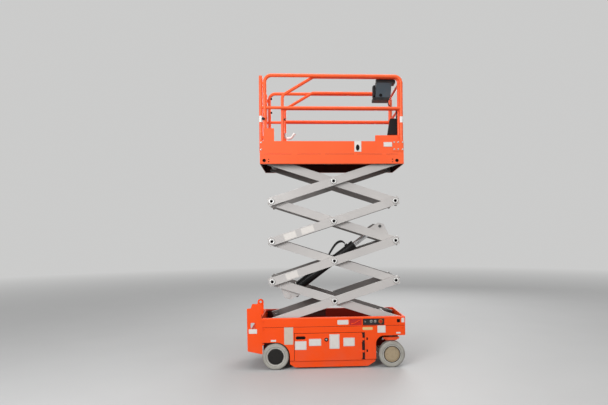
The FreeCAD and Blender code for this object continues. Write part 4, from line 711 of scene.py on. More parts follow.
class Shaper:
    """Collects closed shapes in one mesh and hands it over as a finished piece."""

    def __init__(self) -> None:
        """Start an empty mesh with a layer for the labels' rim."""
        self.mesh = bmesh.new()
        self.rim = self.mesh.verts.layers.float.new("rim")

    def rings(self, rings: Sequence[Sequence[Vector]], rims: Optional[Sequence[float]] = None) -> None:
        """Skin rings of equal length one after the other, and close both ends.

        Args:
            rings: The rings' points; a ring of one point is a pole.
            rims: A rim value for each ring.
        """
        made = []
        for number, ring in enumerate(rings):
            row = [self.mesh.verts.new(p) for p in ring]
            for vert in row:
                vert[self.rim] = rims[number] if rims else 0.0
            made.append(row)
        for one, two in zip(made, made[1:]):
            count = max(len(one), len(two))
            for i in range(count):
                j = (i + 1) % count
                if len(one) == 1:
                    self.mesh.faces.new((one[0], two[i], two[j]))
                elif len(two) == 1:
                    self.mesh.faces.new((one[i], two[0], one[j]))
                else:
                    self.mesh.faces.new((one[i], two[i], two[j], one[j]))
        for row in (made[0], made[-1]):
            if len(row) > 2:
                self.mesh.faces.new(row)

    def plate(self, outline: Sequence[Flat], start: float, end: float, soft: float) -> "Shaper":
        """Plate across Y, with its outer rim bevelled and a rim value inside it.

        Args:
            outline: Points of its edge along X and Z, anticlockwise.
            start: Y of its back.
            end: Y of its outer face.
            soft: Width of the bevel.

        Returns:
            The shaper.
        """
        inner = drawn_in(outline, soft)
        wide = min(max(p[axis] for p in outline) - min(p[axis] for p in outline) for axis in (0, 1))
        rows = ((outline, start), (outline, end - math.copysign(soft, end - start)), (inner, end),
                (drawn_in(inner, wide * 0.09), end))
        self.rings([[Along.Y.spot(a, b, y) for a, b in line] for line, y in rows], (0.0, 0.0, 0.0, 1.0))
        return self

    def pushed(self, outline: Sequence[Flat], start: float, end: float, along: Along) -> "Shaper":
        """Outline pushed along an axis, from one place to another."""
        self.rings([[along.spot(a, b, place) for a, b in outline] for place in (start, end)])
        return self

    def turned(self, profile: Sequence[Flat], middle: Flat, along: Along, sides: int = 32) -> "Shaper":
        """Turned shape.

        Args:
            profile: (radius, place along the axis) from one end to the other.
            middle: Where the axis crosses the other two coordinates.
            along: The axis.
            sides: Faces round it.

        Returns:
            The shaper.
        """
        rows = [(circle(middle, radius, sides) if radius else [middle], place) for radius, place in profile]
        self.rings([[along.spot(a, b, place) for a, b in row] for row, place in rows])
        return self

    def fitted(self, profile: Sequence[Flat], middle: Flat, side: Side, face: float,
               sides: int = 32) -> "Shaper":
        """Turned shape on a long side, with (radius, height out of the face) for its profile."""
        return self.turned([(r, side.out(face + high)) for r, high in profile], middle, Along.Y, sides)

    def block(self, low: Spot, high: Spot, soft: float) -> "Shaper":
        """Block with bevelled edges."""
        a, b = Vector(low), Vector(high)
        place = Matrix.Translation((a + b) / 2) @ Matrix.Diagonal((*(b - a), 1))
        made = bmesh.ops.create_cube(self.mesh, size=1.0, matrix=place)
        sides = list({e for v in made["verts"] for e in v.link_edges})
        bmesh.ops.bevel(self.mesh, geom=sides, offset=soft, segments=3, profile=0.6, affect="EDGES")
        return self

    def rod(self, path: Sequence[Spot], radius: float, sides: int = 12) -> "Shaper":
        """Round bar along points, with flat ends."""
        points = [Vector(p) for p in path]
        side = (points[1] - points[0]).orthogonal()
        rows = []
        for i, point in enumerate(points):
            ahead = (points[min(i + 1, len(points) - 1)] - points[max(i - 1, 0)]).normalized()
            side = (side - ahead * side.dot(ahead)).normalized()
            other = ahead.cross(side)
            rows.append([point + a * side + b * other for a, b in circle((0, 0), radius, sides)])
        self.rings(rows)
        return self

    def moved(self, place: Matrix) -> "Shaper":
        """Everything so far, put in another place."""
        bmesh.ops.transform(self.mesh, matrix=place, verts=self.mesh.verts)
        return self

    def piece(self, name: str, finish: str, body: str, slot: str) -> None:
        """Close the mesh and hang it on its body under its name and finish."""
        bmesh.ops.recalc_face_normals(self.mesh, faces=self.mesh.faces)
        data = bpy.data.meshes.new(name)
        self.mesh.to_mesh(data)
        self.mesh.free()
        placed(name, data, finish, body)


# Things that repeat, made with geometry trees

class Pattern:
    """Geometry tree that puts one small shape at many points, each turned to its facing."""

    def __init__(self, name: str, finish: str, axis: str, sizes: Dict[str, float]) -> None:
        """Start the tree.

        Args:
            name: Its name.
            finish: The finish of what it makes.
            axis: The shape's axis that turns to the facing.
            sizes: Its named inputs and their values.
        """
        self.finish, self.axis, self.sizes = finish, axis, sizes
        self.tree = bpy.data.node_groups.new(name, "GeometryNodeTree")
        face = self.tree.interface
        for way in ("INPUT", "OUTPUT"):
            face.new_socket(name="Geometry", in_out=way, socket_type="NodeSocketGeometry")
        self.keys = {}
        for size in sizes:
            socket = face.new_socket(name=size, in_out="INPUT", socket_type="NodeSocketFloat")
            self.keys[size] = socket.identifier
        self.bench = Bench(self.tree)
        self.given = self.bench.add("NodeGroupInput")

    def size(self, name: str) -> Wire:
        """Named input as a wire."""
        return Wire(self.bench, self.given.outputs[name])

    def shape(self, kind: str, inputs: Dict[str, object], lift: Number = 0.0,
              stretch: object = (1, 1, 1)) -> Socket:
        """Primitive raised along Z and stretched.

        Args:
            kind: Last part of the primitive's node type.
            inputs: Its sizes.
            lift: How far it is raised.
            stretch: Its stretch on each axis, as a triple or a socket.

        Returns:
            Its mesh socket.
        """
        ends = {} if kind == "IcoSphere" else {"fill_type": "NGON"}
        made = self.bench.add("GeometryNodeMesh" + kind, ends, inputs)
        up = self.bench.add("ShaderNodeCombineXYZ", None, {"Z": lift})
        return self.bench.add("GeometryNodeTransform", None, {
            "Geometry": made.outputs["Mesh"], "Translation": up.outputs[0], "Scale": stretch}).outputs[0]

    def repeat(self, *shapes: Socket) -> None:
        """Put the shapes on the points, make them real and give them their finish."""
        b = self.bench
        joined = b.add("GeometryNodeJoinGeometry")
        for part in shapes:
            self.tree.links.new(part, joined.inputs[0])
        way = b.add("GeometryNodeInputNamedAttribute", {"data_type": "FLOAT_VECTOR"}, {"Name": "facing"})
        turn = b.add("FunctionNodeAlignRotationToVector", {"axis": self.axis},
                     {"Vector": way.outputs["Attribute"]})
        spread = b.add("GeometryNodeInstanceOnPoints", None, {
            "Points": self.given.outputs["Geometry"], "Instance": joined.outputs[0],
            "Rotation": turn.outputs[0]})
        real = b.add("GeometryNodeRealizeInstances", None, {0: spread.outputs[0]})
        done = b.add("GeometryNodeSetMaterial", None,
                     {"Geometry": real.outputs[0], "Material": SHOP.get(self.finish)})
        b.add("NodeGroupOutput", None, {0: done.outputs[0]})

    def grow(self, name: str, spots: Sequence[Spot], facing: Sequence[Spot], body: str, slot: str) -> None:
        """Run the tree on points and keep the plain mesh.

        Args:
            name: The piece's name.
            spots: The points.
            facing: Directions that they take by turns.
            body: The body it rides on.
            slot: The record's material slot; not used.
        """
        points = bpy.data.meshes.new("seeds")
        points.from_pydata(list(spots), [], [])
        layer = points.attributes.new("facing", "FLOAT_VECTOR", "POINT")
        layer.data.foreach_set("vector", [v for i in range(len(spots)) for v in facing[i % len(facing)]])
        carrier = shown(name + "_seeds", points)
        worker = carrier.modifiers.new("pattern", "NODES")
        worker.node_group = self.tree
        for size, value in self.sizes.items():
            worker[self.keys[size]] = value
        bpy.context.view_layer.update()
        data = bpy.data.meshes.new_from_object(
            carrier.evaluated_get(bpy.context.evaluated_depsgraph_get()))
        carrier.modifiers.remove(worker)
        bpy.data.objects.remove(carrier)
        data.name = name
        placed(name, data, self.finish, body)


class BoltHeads(Pattern):
    """Hexagon heads on washers, each standing out along its point's facing."""

    def __init__(self, across: float, high: float, finish: str = "zinc") -> None:
        """Build the tree for one size of bolt."""
        super().__init__("bolt_heads", finish, "Z", {
            "Across corners": across, "Head height": high, "Washer radius": across * 0.78,
            "Washer height": 0.0016})
        wide, head, thin = (self.size(name) for name in ("Across corners", "Head height", "Washer height"))
        self.repeat(
            self.shape("Cylinder", {"Vertices": 20, "Radius": self.size("Washer radius"), "Depth": thin},
                       thin * 0.5),
            self.shape("Cylinder", {"Vertices": 6, "Radius": wide * 0.5, "Depth": head}, thin + head * 0.5),
            self.shape("Cone", {"Vertices": 12, "Radius Bottom": wide * 0.43, "Radius Top": wide * 0.36,
                                "Depth": 0.0008}, thin + head))


class Lozenges(Pattern):
    """Raised lozenges of tread plate, in rows that lean left and right by turns."""

    def __init__(self, long: float = 0.026, wide: float = 0.0085, high: float = 0.0012) -> None:
        """Build the tree for one size of lozenge."""
        super().__init__("tread_lozenges", "platform_enamel", "X",
                         {"Length": long, "Width": wide, "Height": high})
        size = self.bench.add("ShaderNodeCombineXYZ", None, {
            "X": self.size("Length"), "Y": self.size("Width"), "Z": self.size("Height")})
        self.repeat(self.shape("Cone", {"Vertices": 8, "Radius Bottom": 0.5, "Radius Top": 0.3, "Depth": 1.0},
                               stretch=size.outputs[0]))

    def spread(self, name: str, low: Flat, high: Flat, top: float, pitch: float, body: str) -> None:
        """Cover a rectangle of floor.

        Args:
            name: The piece's name.
            low: Lowest corner.
            high: Highest corner.
            top: Height of the floor.
            pitch: Distance between lozenges.
            body: The body it rides on.
        """
        spots, ways = [], []
        for i in range(int((high[0] - low[0]) / pitch) + 1):
            for j in range(int((high[1] - low[1]) / pitch) + 1):
                spots.append((low[0] + i * pitch, low[1] + j * pitch, top + 0.0003))
                ways.append((1, 1, 0) if (i + j) % 2 else (1, -1, 0))
        self.grow(name, spots, ways, body, "platform_paint")


class Studs(Pattern):
    """Punched grip studs of a step tread."""

    def __init__(self, finish: str, radius: float = 0.006, high: float = 0.0022) -> None:
        """Build the tree for one size of stud."""
        super().__init__("grip_studs", finish, "Z", {"Radius": radius, "Height": high})
        foot = self.size("Radius")
        self.repeat(self.shape("Cone", {"Vertices": 14, "Radius Bottom": foot, "Radius Top": foot * 0.55,
                                        "Depth": self.size("Height")}, self.size("Height") * 0.5 - 0.0002))

    def spread(self, name: str, x: Flat, y: Flat, tops: Sequence[float], counts: Tuple[int, int],
               body: str, slot: str) -> None:
        """Cover the same rectangle at several heights with rows of studs."""
        spots = [(a, b, top) for top in tops for a in spaced(*x, counts[0]) for b in spaced(*y, counts[1])]
        self.grow(name, spots, [(0, 0, 1)], body, slot)


class WeldBeads(Pattern):
    """Weld seam: overlapping flat beads along a line of points."""

    def __init__(self, finish: str, radius: float = 0.0042, pitch: float = 0.005) -> None:
        """Build the tree for one size of bead and one distance between beads."""
        super().__init__("weld_beads_" + finish, finish, "Z", {"Radius": radius})
        self.pitch = pitch
        self.repeat(self.shape("IcoSphere", {"Radius": self.size("Radius"), "Subdivisions": 1}))

    def ring(self, middle: Flat, y: float, radius: float) -> List[Spot]:
        """Points round a circle across Y."""
        return [(x, y, z) for x, z in circle(middle, radius, int(2 * math.pi * radius / self.pitch))]


# Sub-assemblies

@dataclass(frozen=True)
class Card:
    """Blank label or cover plate: its limits along X and Z, and its corner radius."""

    left: float
    low: float
    right: float
    high: float
    corner: float = 0.005
    corner: float = 0.005

    def outline(self) -> List[Flat]:
        """Its edge, anticlockwise, with round corners."""
        left, low = self.left + self.corner, self.low + self.corner
        right, high = self.right - self.corner, self.high - self.corner
        corners = ((right, low), (right, high), (left, high), (left, low))
        return [p for i, middle in enumerate(corners)
                for p in arc(middle, self.corner, 90 * i - 90, 90 * i, 5)]


@dataclass(frozen=True)
class Wall:
    """Flat side of a body that plates and bolts go on."""

    body: str
    slot: str
    side: Side
    face: float

    def cards(self, name: str, finish: str, cards: Sequence[Card], thick: float = 0.0008) -> None:
        """Put flat plates on the side.

        Args:
            name: The piece's name.
            finish: The plates' finish.
            cards: The plates.
            thick: How far they stand out.
        """
        maker = Shaper()
        for card in cards:
            maker.plate(card.outline(), self.side.out(self.face - 0.0001), self.side.out(self.face + thick),
                        thick * 0.3)
        maker.piece(name, finish, self.body, self.slot)

    def bolts(self, name: str, spots: Sequence[Flat], size: float = 0.013, finish: str = "zinc") -> None:
        """Put bolt heads on the side.

        Args:
            name: The piece's name.
            spots: Their places along X and Z.
            size: Width across their corners.
            finish: Their finish.
        """
        places = [(x, self.side.out(self.face), z) for x, z in spots]
        BoltHeads(size, size * 0.42, finish).grow(name, places, [(0, self.side.value, 0)], self.body,
                                                  self.slot)


@dataclass
class Chassis:
    """Chassis: labels, cover, side recesses, bolts and the steps' grip studs."""

    face: float = 0.380
    recess_face: float = 0.3720
    panel_face: float = 0.3770
    lever_at: Flat = (0.292, 0.518)
    lever_y: float = -0.3765
    lever_path: Tuple[Flat, ...] = ((0.292, 0.518), (0.330, 0.527), (0.362, 0.548), (0.384, 0.556))
    knobs: Tuple[Flat, ...] = ((0.517, 0.0155), (0.564, 0.0145), (0.446, 0.0085))
    knobs_z: float = 0.541
    step_tops: Tuple[float, ...] = (0.257, 0.427, 0.597)
    near_cards: Tuple[Card, ...] = (
        Card(0.122, 0.511, 0.251, 0.565, 0.009),
        Card(0.589, 0.409, 0.684, 0.493), Card(0.809, 0.394, 0.860, 0.413, 0.003),
        Card(-0.648, 0.328, -0.589, 0.350, 0.003), Card(0.872, 0.525, 0.9055, 0.578, 0.004),
        Card(-0.900, 0.425, -0.805, 0.478))
    far_cards: Tuple[Card, ...] = (
        Card(-0.60, 0.508, -0.47, 0.562), Card(0.589, 0.409, 0.684, 0.493),
        Card(0.10, 0.443, 0.26, 0.477, 0.012), Card(-0.900, 0.425, -0.805, 0.478))
    bolt_spots: Tuple[Flat, ...] = ((0.672, 0.344), (0.835, 0.344), (-0.734, 0.565), (-0.734, 0.475),
                                    (-0.734, 0.300), (0.880, 0.470))

    def wall(self, side: Side, face: Optional[float] = None) -> "Wall":
        """One long side, or a face sunk into it."""
        return Wall("chassis", "chassis_paint", side, face or self.face)

    def plates(self) -> None:
        """Labels on both sides, and the buff cover on the near one."""
        near, far = self.wall(Side.NEAR), self.wall(Side.FAR)
        near.cards("near_labels", "label_white", self.near_cards)
        near.cards("control_label", "label_yellow", (Card(0.413, 0.443, 0.535, 0.477, 0.014),))
        far.cards("far_labels", "label_white", self.far_cards)
        near.cards("buff_cover", "label_buff", (Card(-0.495, 0.291, -0.391, 0.490, 0.004),), 0.0014)
        near.bolts("near_side_bolts", self.bolt_spots, finish="chassis_enamel")
        far.bolts("far_side_bolts", self.bolt_spots, finish="chassis_enamel")

    def recesses(self) -> None:
        """Red manual release recess with its lever, and a black plate of painted shade in the eye at the
        front.
        """
        self.wall(Side.NEAR, self.recess_face).cards(
            "release_plate", "red_plastic", (Card(0.2665, 0.4995, 0.4055, 0.5725, 0.004),), 0.0012)
        wall = self.wall(Side.NEAR)
        # painted shade: black plate in the front eye stands for the shade in the hole
        wall.cards("front_eye", "black_gap", (Card(0.818, 0.526, 0.856, 0.565, 0.007),), 0.0007)
        notches = [Card(0.459, low, 0.476, low + 0.030, 0.004) for low in (0.187, 0.327)]
        wall.cards("hinge_stops", "black_gap", notches, 0.0009)
        lever = Shaper().rod([(x, self.lever_y, z) for x, z in self.lever_path], 0.0034)
        lever.fitted(((0, 0), (0.0075, 0), (0.0075, 0.0055), (0.0060, 0.0067), (0, 0.0067)), self.lever_at,
                     Side.NEAR, 0.3730, 20)
        lever.piece("release_lever", "chassis_enamel", "chassis", "chassis_paint")

    def controls(self) -> None:
        """Rings round the three ground controls."""
        maker = Shaper()
        for x, outer in self.knobs:
            inner = outer - 0.003
            maker.fitted(((inner, 0), (outer, 0), (outer, 0.0018), (outer - 0.001, 0.0028), (inner, 0.0028),
                          (inner, 0)), (x, self.knobs_z), Side.NEAR, self.panel_face, 28)
        maker.piece("control_rings", "zinc", "chassis", "panel_black")

    def treads(self) -> None:
        """Grip studs on the steps."""
        Studs("chassis_enamel").spread("step_studs", (-0.895, -0.775), (-0.335, 0.335), self.step_tops,
                                       (5, 24), "chassis", "chassis_paint")

    def build(self) -> None:
        """Make every piece of the chassis."""
        for make in (self.plates, self.recesses, self.controls, self.treads):
            make()


@dataclass
class Doors:
    """Battery doors: labels, lock, a black sheet of painted shade in the grip, and the cells' caps and
    terminals inside.
    """

    face: float = 0.380
    grip_face: float = 0.3732
    lock_face: float = 0.3838
    lock: Flat = (-0.008, 0.342)
    near_cards: Tuple[Card, ...] = (Card(-0.372, 0.228, -0.239, 0.328), Card(-0.210, 0.271, -0.069, 0.352),
                                    Card(0.028, 0.233, 0.144, 0.401), Card(0.190, 0.260, 0.321, 0.358))
    far_cards: Tuple[Card, ...] = (Card(-0.31, 0.250, -0.17, 0.335), Card(0.06, 0.235, 0.19, 0.350))
    tray: Flat = (-0.288, 0.386)
    cells_top: float = 0.366

    def fittings(self, body: str, side: Side, cards: Sequence[Card]) -> None:
        """Labels, lock and grip backing of one door; the black backing stands for the shade in the grip.

        Args:
            body: The door's body.
            side: The side that it is on.
            cards: Its labels.
        """
        Wall(body, "chassis_paint", side, self.face).cards(body + "_labels", "label_white", cards)
        # painted shade: black sheet set back in the grip opening
        Wall(body, "panel_black", side, self.grip_face).cards(
            body + "_grip", "black_gap", (Card(-0.3665, 0.344, -0.2435, 0.389, 0.019),), 0.0006)
        Shaper().fitted(((0, 0), (0.0228, 0), (0.0228, 0.0008), (0.0205, 0.0026), (0.0120, 0.0026),
                         (0.0116, 0.0010), (0, 0.0010)), self.lock, side, self.lock_face).piece(
            body + "_lock", "box_black", body, "panel_black")
        Shaper().fitted(((0, 0.0008), (0.0098, 0.0008), (0.0098, 0.0024), (0.0086, 0.0032), (0, 0.0032)),
                        self.lock, side, self.lock_face).piece(
            body + "_key_barrel", "zinc", body, "bright_rod")

    def cells(self, body: str, side: Side) -> None:
        """Filler caps and terminals on top of one side's batteries."""
        def row(inset: float, count: int, y: float) -> List[Spot]:
            """Points along the tray."""
            return [(x, side.out(y), self.cells_top)
                    for x in spaced(self.tray[0] + inset, self.tray[1] - inset, count)]

        Studs("cell_cap", 0.0145, 0.009).grow(body + "_cell_caps", row(0.034, 12, 0.205), [(0, 0, 1)], body,
                                              "battery_case")
        BoltHeads(0.018, 0.009).grow(body + "_terminals", row(0.075, 4, 0.325), [(0, 0, 1)], body,
                                     "bright_rod")

    def build(self) -> None:
        """Dress both doors."""
        self.fittings("near_door", Side.NEAR, self.near_cards)
        self.fittings("far_door", Side.FAR, self.far_cards)
        self.cells("near_door", Side.NEAR)
        self.cells("far_door", Side.FAR)


@dataclass
class Scissor:
    """Scissor arms: painted shade in the pin sockets and round the pin heads, labels, cylinder pins and weld
    beads.
    """

    rear_x: float = -0.62944
    front_x: float = 0.82650
    base_z: float = 0.542
    rise: float = 0.470256
    length: float = 1.5300
    tilt: float = math.radians(17.9)
    face: float = 0.312
    head: float = 0.318
    inner: float = 0.222
    tie_radius: float = 0.028

    stages: Tuple[int, ...] = (1, 2, 3, 4)
    labels: Tuple[Tuple[int, int, float, float], ...] = (
        (3, 1, 0.222, 0.148), (3, 2, 0.436, 0.158), (2, 1, 0.240, 0.150))

    SOCKET = ((0, -0.0048), (0.0155, -0.0048), (0.0158, -0.0002), (0.0172, 0.0003), (0.0172, 0.0008),
              (0.0140, 0.0008), (0.0130, -0.0030), (0, -0.0030))
    RIM = ((0.0176, -0.0002), (0.0322, -0.0002), (0.0322, 0.0005), (0.0310, 0.0012), (0.0186, 0.0012),
           (0.0176, 0.0006), (0.0176, -0.0002))
    GAP = ((0.0332, -0.0002), (0.0352, -0.0002), (0.0352, 0.0003), (0.0332, 0.0003), (0.0332, -0.0002))

    def spot(self, stage: int, run: float, inner: bool = False) -> Flat:
        """X and Z on an arm's centre line, run metres from its lower pin."""
        foot = self.base_z + (stage - 1) * self.rise
        across, up = run * math.cos(self.tilt), run * math.sin(self.tilt)
        return (self.front_x - across if inner else self.rear_x + across, foot + up)

    def sockets(self, stage: int) -> None:
        """Bright rims on the heads of one pair's pins, with black key sockets and a black ring round each
        head that paint the shade there.
        """
        dark, rims = Shaper(), Shaper()
        for run in (0.0, self.length / 2, self.length):
            middle = self.spot(stage, run)
            for side in Side:
                # painted shade: the black socket fill and the black ring at each head's edge stand for shade
                dark.fitted(self.SOCKET, middle, side, self.head, 28)
                rims.fitted(self.RIM, middle, side, self.head, 36)
                dark.fitted(self.GAP, middle, side, self.face, 36)
        rims.piece("pin_rims_%d" % stage, "pin_steel", "outer_arms_%d" % stage, "bright_rod")
        dark.piece("pin_sockets_%d" % stage, "black_gap", "outer_arms_%d" % stage, "dark_steel")

    def label(self, stage: int, number: int, run: float, long: float) -> None:
        """Blank label on the near face of an outer arm."""
        x, z = self.spot(stage, run)
        maker = Shaper().plate(Card(-long / 2, -0.040, long / 2, 0.040, 0.004).outline(),
                               -self.face + 0.0001, -self.face - 0.0008, 0.0002)
        maker.moved(Matrix.Translation((x, 0, z)) @ Matrix.Rotation(-self.tilt, 4, "Y"))
        maker.piece("arm_label_%d_%d" % (stage, number), "label_white", "outer_arms_%d" % stage, "arm_paint")

    def welds(self, stage: int) -> None:
        """Seams round the cross tubes of one inner pair."""
        beads = WeldBeads("arm_enamel")
        spots: List[Spot] = []
        for run in (0.120 if stage == 1 else 0.0, self.length):
            middle = self.spot(stage, run, True)
            for side in Side:
                spots += beads.ring(middle, side.out(self.inner), self.tie_radius + 0.001)
        beads.grow("tie_welds_%d" % stage, spots, [(0, 1, 0)], "inner_arms_%d" % stage, "arm_paint")

    def cylinder_pins(self) -> None:
        """Pin ends with keeper plates on the cylinder's two mounts."""
        mounts = ((1, (-0.44604, 0.83501), 0.2221, 0.0040), (3, (0.6540, 1.65655), 0.2161, 0.0012))
        for stage, middle, face, thick in mounts:
            ring, dark = Shaper(), Shaper()
            for side in Side:
                ring.fitted(((0.019, 0), (0.032, 0), (0.032, thick * 0.6), (0.031, thick), (0.019, thick),
                             (0.019, 0)), middle, side, face, 36)
                dark.fitted(((0, 0), (0.0188, 0), (0.0188, thick * 0.8), (0.0178, thick * 0.9),
                             (0, thick * 0.9)), middle, side, face, 30)
            ring.piece("mount_rings_%d" % stage, "arm_enamel", "inner_arms_%d" % stage, "arm_paint")
            dark.piece("mount_pins_%d" % stage, "dark_steel", "inner_arms_%d" % stage, "dark_steel")

    def build(self) -> None:
        """Dress the four stages."""
        for stage in self.stages:
            self.sockets(stage)
            self.welds(stage)
        for place in self.labels:
            self.label(*place)
        self.cylinder_pins()


@dataclass(frozen=True)
class Hose:
    """One hose's route beside the barrel: its name, side, distance from the middle, and (run, up) points."""

    name: str
    side: Side
    y: float
    length: float
    route: Tuple[Flat, ...]


FOOT, SADDLE = ((0.924, 0.0663),), ((0.620, 0.0613), (0.380, 0.0583), (0.1386, 0.0583))
LOW_SADDLE = ((0.620, 0.0567), (0.380, 0.0537), (0.1386, 0.0537))


@dataclass
class LiftCylinder:
    """Lift cylinder's four hoses, their unions and the strap that holds them to the barrel."""

    at: Spot = (-0.44604, 0.0, 0.83501)
    slope: float = math.radians(36.752)
    hose_radius: float = 0.0065
    strap_runs: Tuple[float, ...] = (0.300, 0.560)
    strap_wide: float = 0.016
    strap_radii: Flat = (0.0521, 0.0672)
    hoses: Tuple[Hose, ...] = (
        Hose("near_inner_hose", Side.NEAR, 0.008, 0.860,
             FOOT + ((0.928, 0.109), (0.896, 0.147), (0.836, 0.154), (0.738, 0.121)) + SADDLE),
        Hose("far_inner_hose", Side.FAR, 0.008, 0.838,
             FOOT + ((0.925, 0.099), (0.886, 0.130), (0.828, 0.136), (0.745, 0.110)) + SADDLE),
        Hose("near_outer_hose", Side.NEAR, 0.024, 0.838,
             FOOT + ((0.926, 0.097), (0.891, 0.131), (0.830, 0.136), (0.738, 0.108)) + LOW_SADDLE),
        Hose("far_outer_hose", Side.FAR, 0.024, 0.843,
             FOOT + ((0.926, 0.099), (0.892, 0.134), (0.832, 0.140), (0.738, 0.110)) + LOW_SADDLE))

    def spot(self, run: float, side: float, up: float) -> Vector:
        """Point beside the barrel: run along it, side across it and up from its axis."""
        return Vector((self.at[0] + run * math.cos(self.slope) - up * math.sin(self.slope), side,
                       self.at[2] + run * math.sin(self.slope) + up * math.cos(self.slope)))

    def hose(self, hose: Hose) -> None:
        """Make one hose as a smooth line through its route."""
        y = hose.side.out(hose.y)
        data = bpy.data.curves.new(hose.name, "CURVE")
        data.dimensions = "3D"
        line = data.splines.new("NURBS")
        line.points.add(len(hose.route) - 1)
        for point, (run, up) in zip(line.points, hose.route):
            point.co = (*self.spot(run, y, up), 1)
        line.order_u = 3
        line.use_endpoint_u = True
        line.resolution_u = 16
        data.bevel_depth = self.hose_radius
        data.bevel_resolution = 5
        data.use_fill_caps = True
        data.materials.append(SHOP.get("hose_rubber"))
        obj = shown(hose.name, data)
        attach(obj, "lift_barrel")
        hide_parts("lift_hoses")
        start = hose.route[0]
        tuple(self.spot(start[0], y, start[1]))

    def unions(self) -> None:
        """Hexagon unions at the port blocks, and the strap round the hoses."""
        maker = Shaper()
        for hose in self.hoses:
            y = hose.side.out(hose.y)
            for along, middle, (start, bevel, end) in (
                    (Along.Z, (0.924, y), (0.0661, 0.0755, 0.0800)),
                    (Along.X, (y, hose.route[-1][1]), (0.1382, 0.1475, 0.1520))):
                maker.turned(((0, start), (0.0078, start), (0.0078, bevel), (0.0072, end), (0, end)),
                             middle, along, 6)
        place = Matrix.Translation(self.at) @ Matrix.Rotation(-self.slope, 4, "Y")
        maker.moved(place).piece("hose_unions", "zinc", "lift_barrel", "bright_rod")
        strap = Shaper()
        for run in self.strap_runs:
            strap.pushed(band((0, 0), *self.strap_radii, 124, 56, 17), run, run + self.strap_wide, Along.X)
        strap.moved(place).piece("hose_straps", "box_black", "lift_barrel", "panel_black")

    def build(self) -> None:
        """Make the hoses and what holds them."""
        for hose in self.hoses:
            self.hose(hose)
        self.unions()


@dataclass
class Platform:
    """Platform: labels, bolts, painted shadow lines along the deck's crease, reflectors, clamps on the posts
    and the patterned floor.
    """

    face: float = 0.372
    # painted shadow: X spans of the dark strips along the deck's crease
    seams: Tuple[Flat, ...] = ((-0.705, -0.384), (-0.326, -0.047), (-0.004, 0.338), (0.371, 0.664),
                               (0.714, 0.850))
    bolt_x: Tuple[float, ...] = (0.808, 0.856, 0.908)
    bolt_z: Tuple[float, ...] = (2.550, 2.633)
    reflector_x: Flat = (-0.741, 0.900)
    reflector_z: Flat = (2.866, 2.937)
    post_y: float = 0.3457

    def plates(self, side: Side) -> None:
        """Labels, end plate, bolts and painted shadow lines along the crease of one side."""
        name = side.name.lower()
        wall = Wall("platform", "platform_paint", side, self.face)
        wall.cards(name + "_deck_labels", "label_white",
                   (Card(0.340, 2.521, 0.422, 2.646, 0.004), Card(0.683, 2.580, 0.784, 2.634, 0.003)))
        oval = [(0.3795 + 0.0215 * c, 2.569 + 0.037 * s) for c, s in circle((0, 0), 1, 45)]
        # painted shade: black plugs sunk in the deck's small holes stand for the shade inside them
        holes = Shaper()
        for x in (-0.65304, 0.788):
            for z in (2.40502, 2.43302):
                holes.fitted(((0, 0), (0.0069, 0), (0.0069, 0.0076), (0, 0.0076)), (x, z), side, 0.3640, 16)
        holes.piece(name + "_deck_holes", "black_gap", "platform", "platform_paint")
        badge = Shaper().plate(oval, side.out(self.face + 0.0006), side.out(self.face + 0.0014), 0.0003)
        badge.piece(name + "_oval", "black_gap", "platform", "platform_paint")
        wall.cards(name + "_end_plate", "platform_enamel", (Card(0.789, 2.530, 0.9165, 2.653, 0.006),),
                   0.0016)
        proud = Wall("platform", "bright_rod", side, self.face + 0.0014)
        proud.bolts(name + "_end_bolts", [(x, z) for x in self.bolt_x for z in self.bolt_z], 0.0125)
        back = Wall("platform", "bright_rod", side, self.face)
        back.bolts(name + "_rear_bolts", [(-0.740, 2.628), (-0.740, 2.546)], 0.0125)
        # painted shadow: dark orange strips along the crease below the deck's top edge
        seams = [Card(a, 2.4925, b, 2.4965, 0.0015) for a, b in self.seams]
        wall.cards(name + "_seams", "seam_shadow", seams, 0.0005)

    def reflectors(self) -> None:
        """White reflective strips on the outer halves of the end posts."""
        maker = Shaper()
        for x in self.reflector_x:
            for side in Side:
                outline = [(a, side.out(b)) for a, b in band((x, self.post_y), 0.0198, 0.0208, 156, 24, 22)]
                maker.pushed(outline, *self.reflector_z, Along.Z)
        maker.piece("reflectors", "reflector", "platform", "handle_white")

    def clamps(self) -> None:
        """Black spring knob on the entry post and black bushes on the far post."""
        maker = Shaper().fitted(knob(0.009, 0.0155, 0.023), (-0.712, 2.902), Side.NEAR, 0.3630, 24)
        for z in (3.344, 3.164):
            maker.block((-0.6780, 0.3300, z - 0.012), (-0.6600, 0.3560, z + 0.012), 0.004)
        maker.piece("post_clamps", "box_black", "platform", "panel_black")
        lock = [(r, x - 0.4770) for r, x in knob(0.008, 0.0145, 0.019)]
        Shaper().turned(lock, (-0.2977, 2.912), Along.X, 24).piece(
            "slide_lock_knob", "box_black", "extension", "panel_black")

    def lever_grip(self) -> None:
        """Thick white sleeve on the extension's push lever."""
        Shaper().rod([(x, -0.250, z) for x, z in (
            (-0.4650, 2.7600), (-0.4650, 2.7240), (-0.4610, 2.7090), (-0.4500, 2.7010), (-0.4180, 2.7000),
            (-0.4020, 2.7040), (-0.3900, 2.7150), (-0.3560, 2.7590))], 0.0155, 20).piece(
            "lever_grip", "handle_plastic", "extension", "handle_white")

    def floor_plate(self) -> None:
        """Tread pattern of the sliding floor."""
        Lozenges().spread("deck_lozenges", (-0.470, -0.290), (0.870, 0.290), 2.5043, 0.034, "extension")

    def build(self) -> None:
        """Make every piece of the platform."""
        for side in Side:
            self.plates(side)
        for make in (self.reflectors, self.clamps, self.lever_grip, self.floor_plate):
            make()


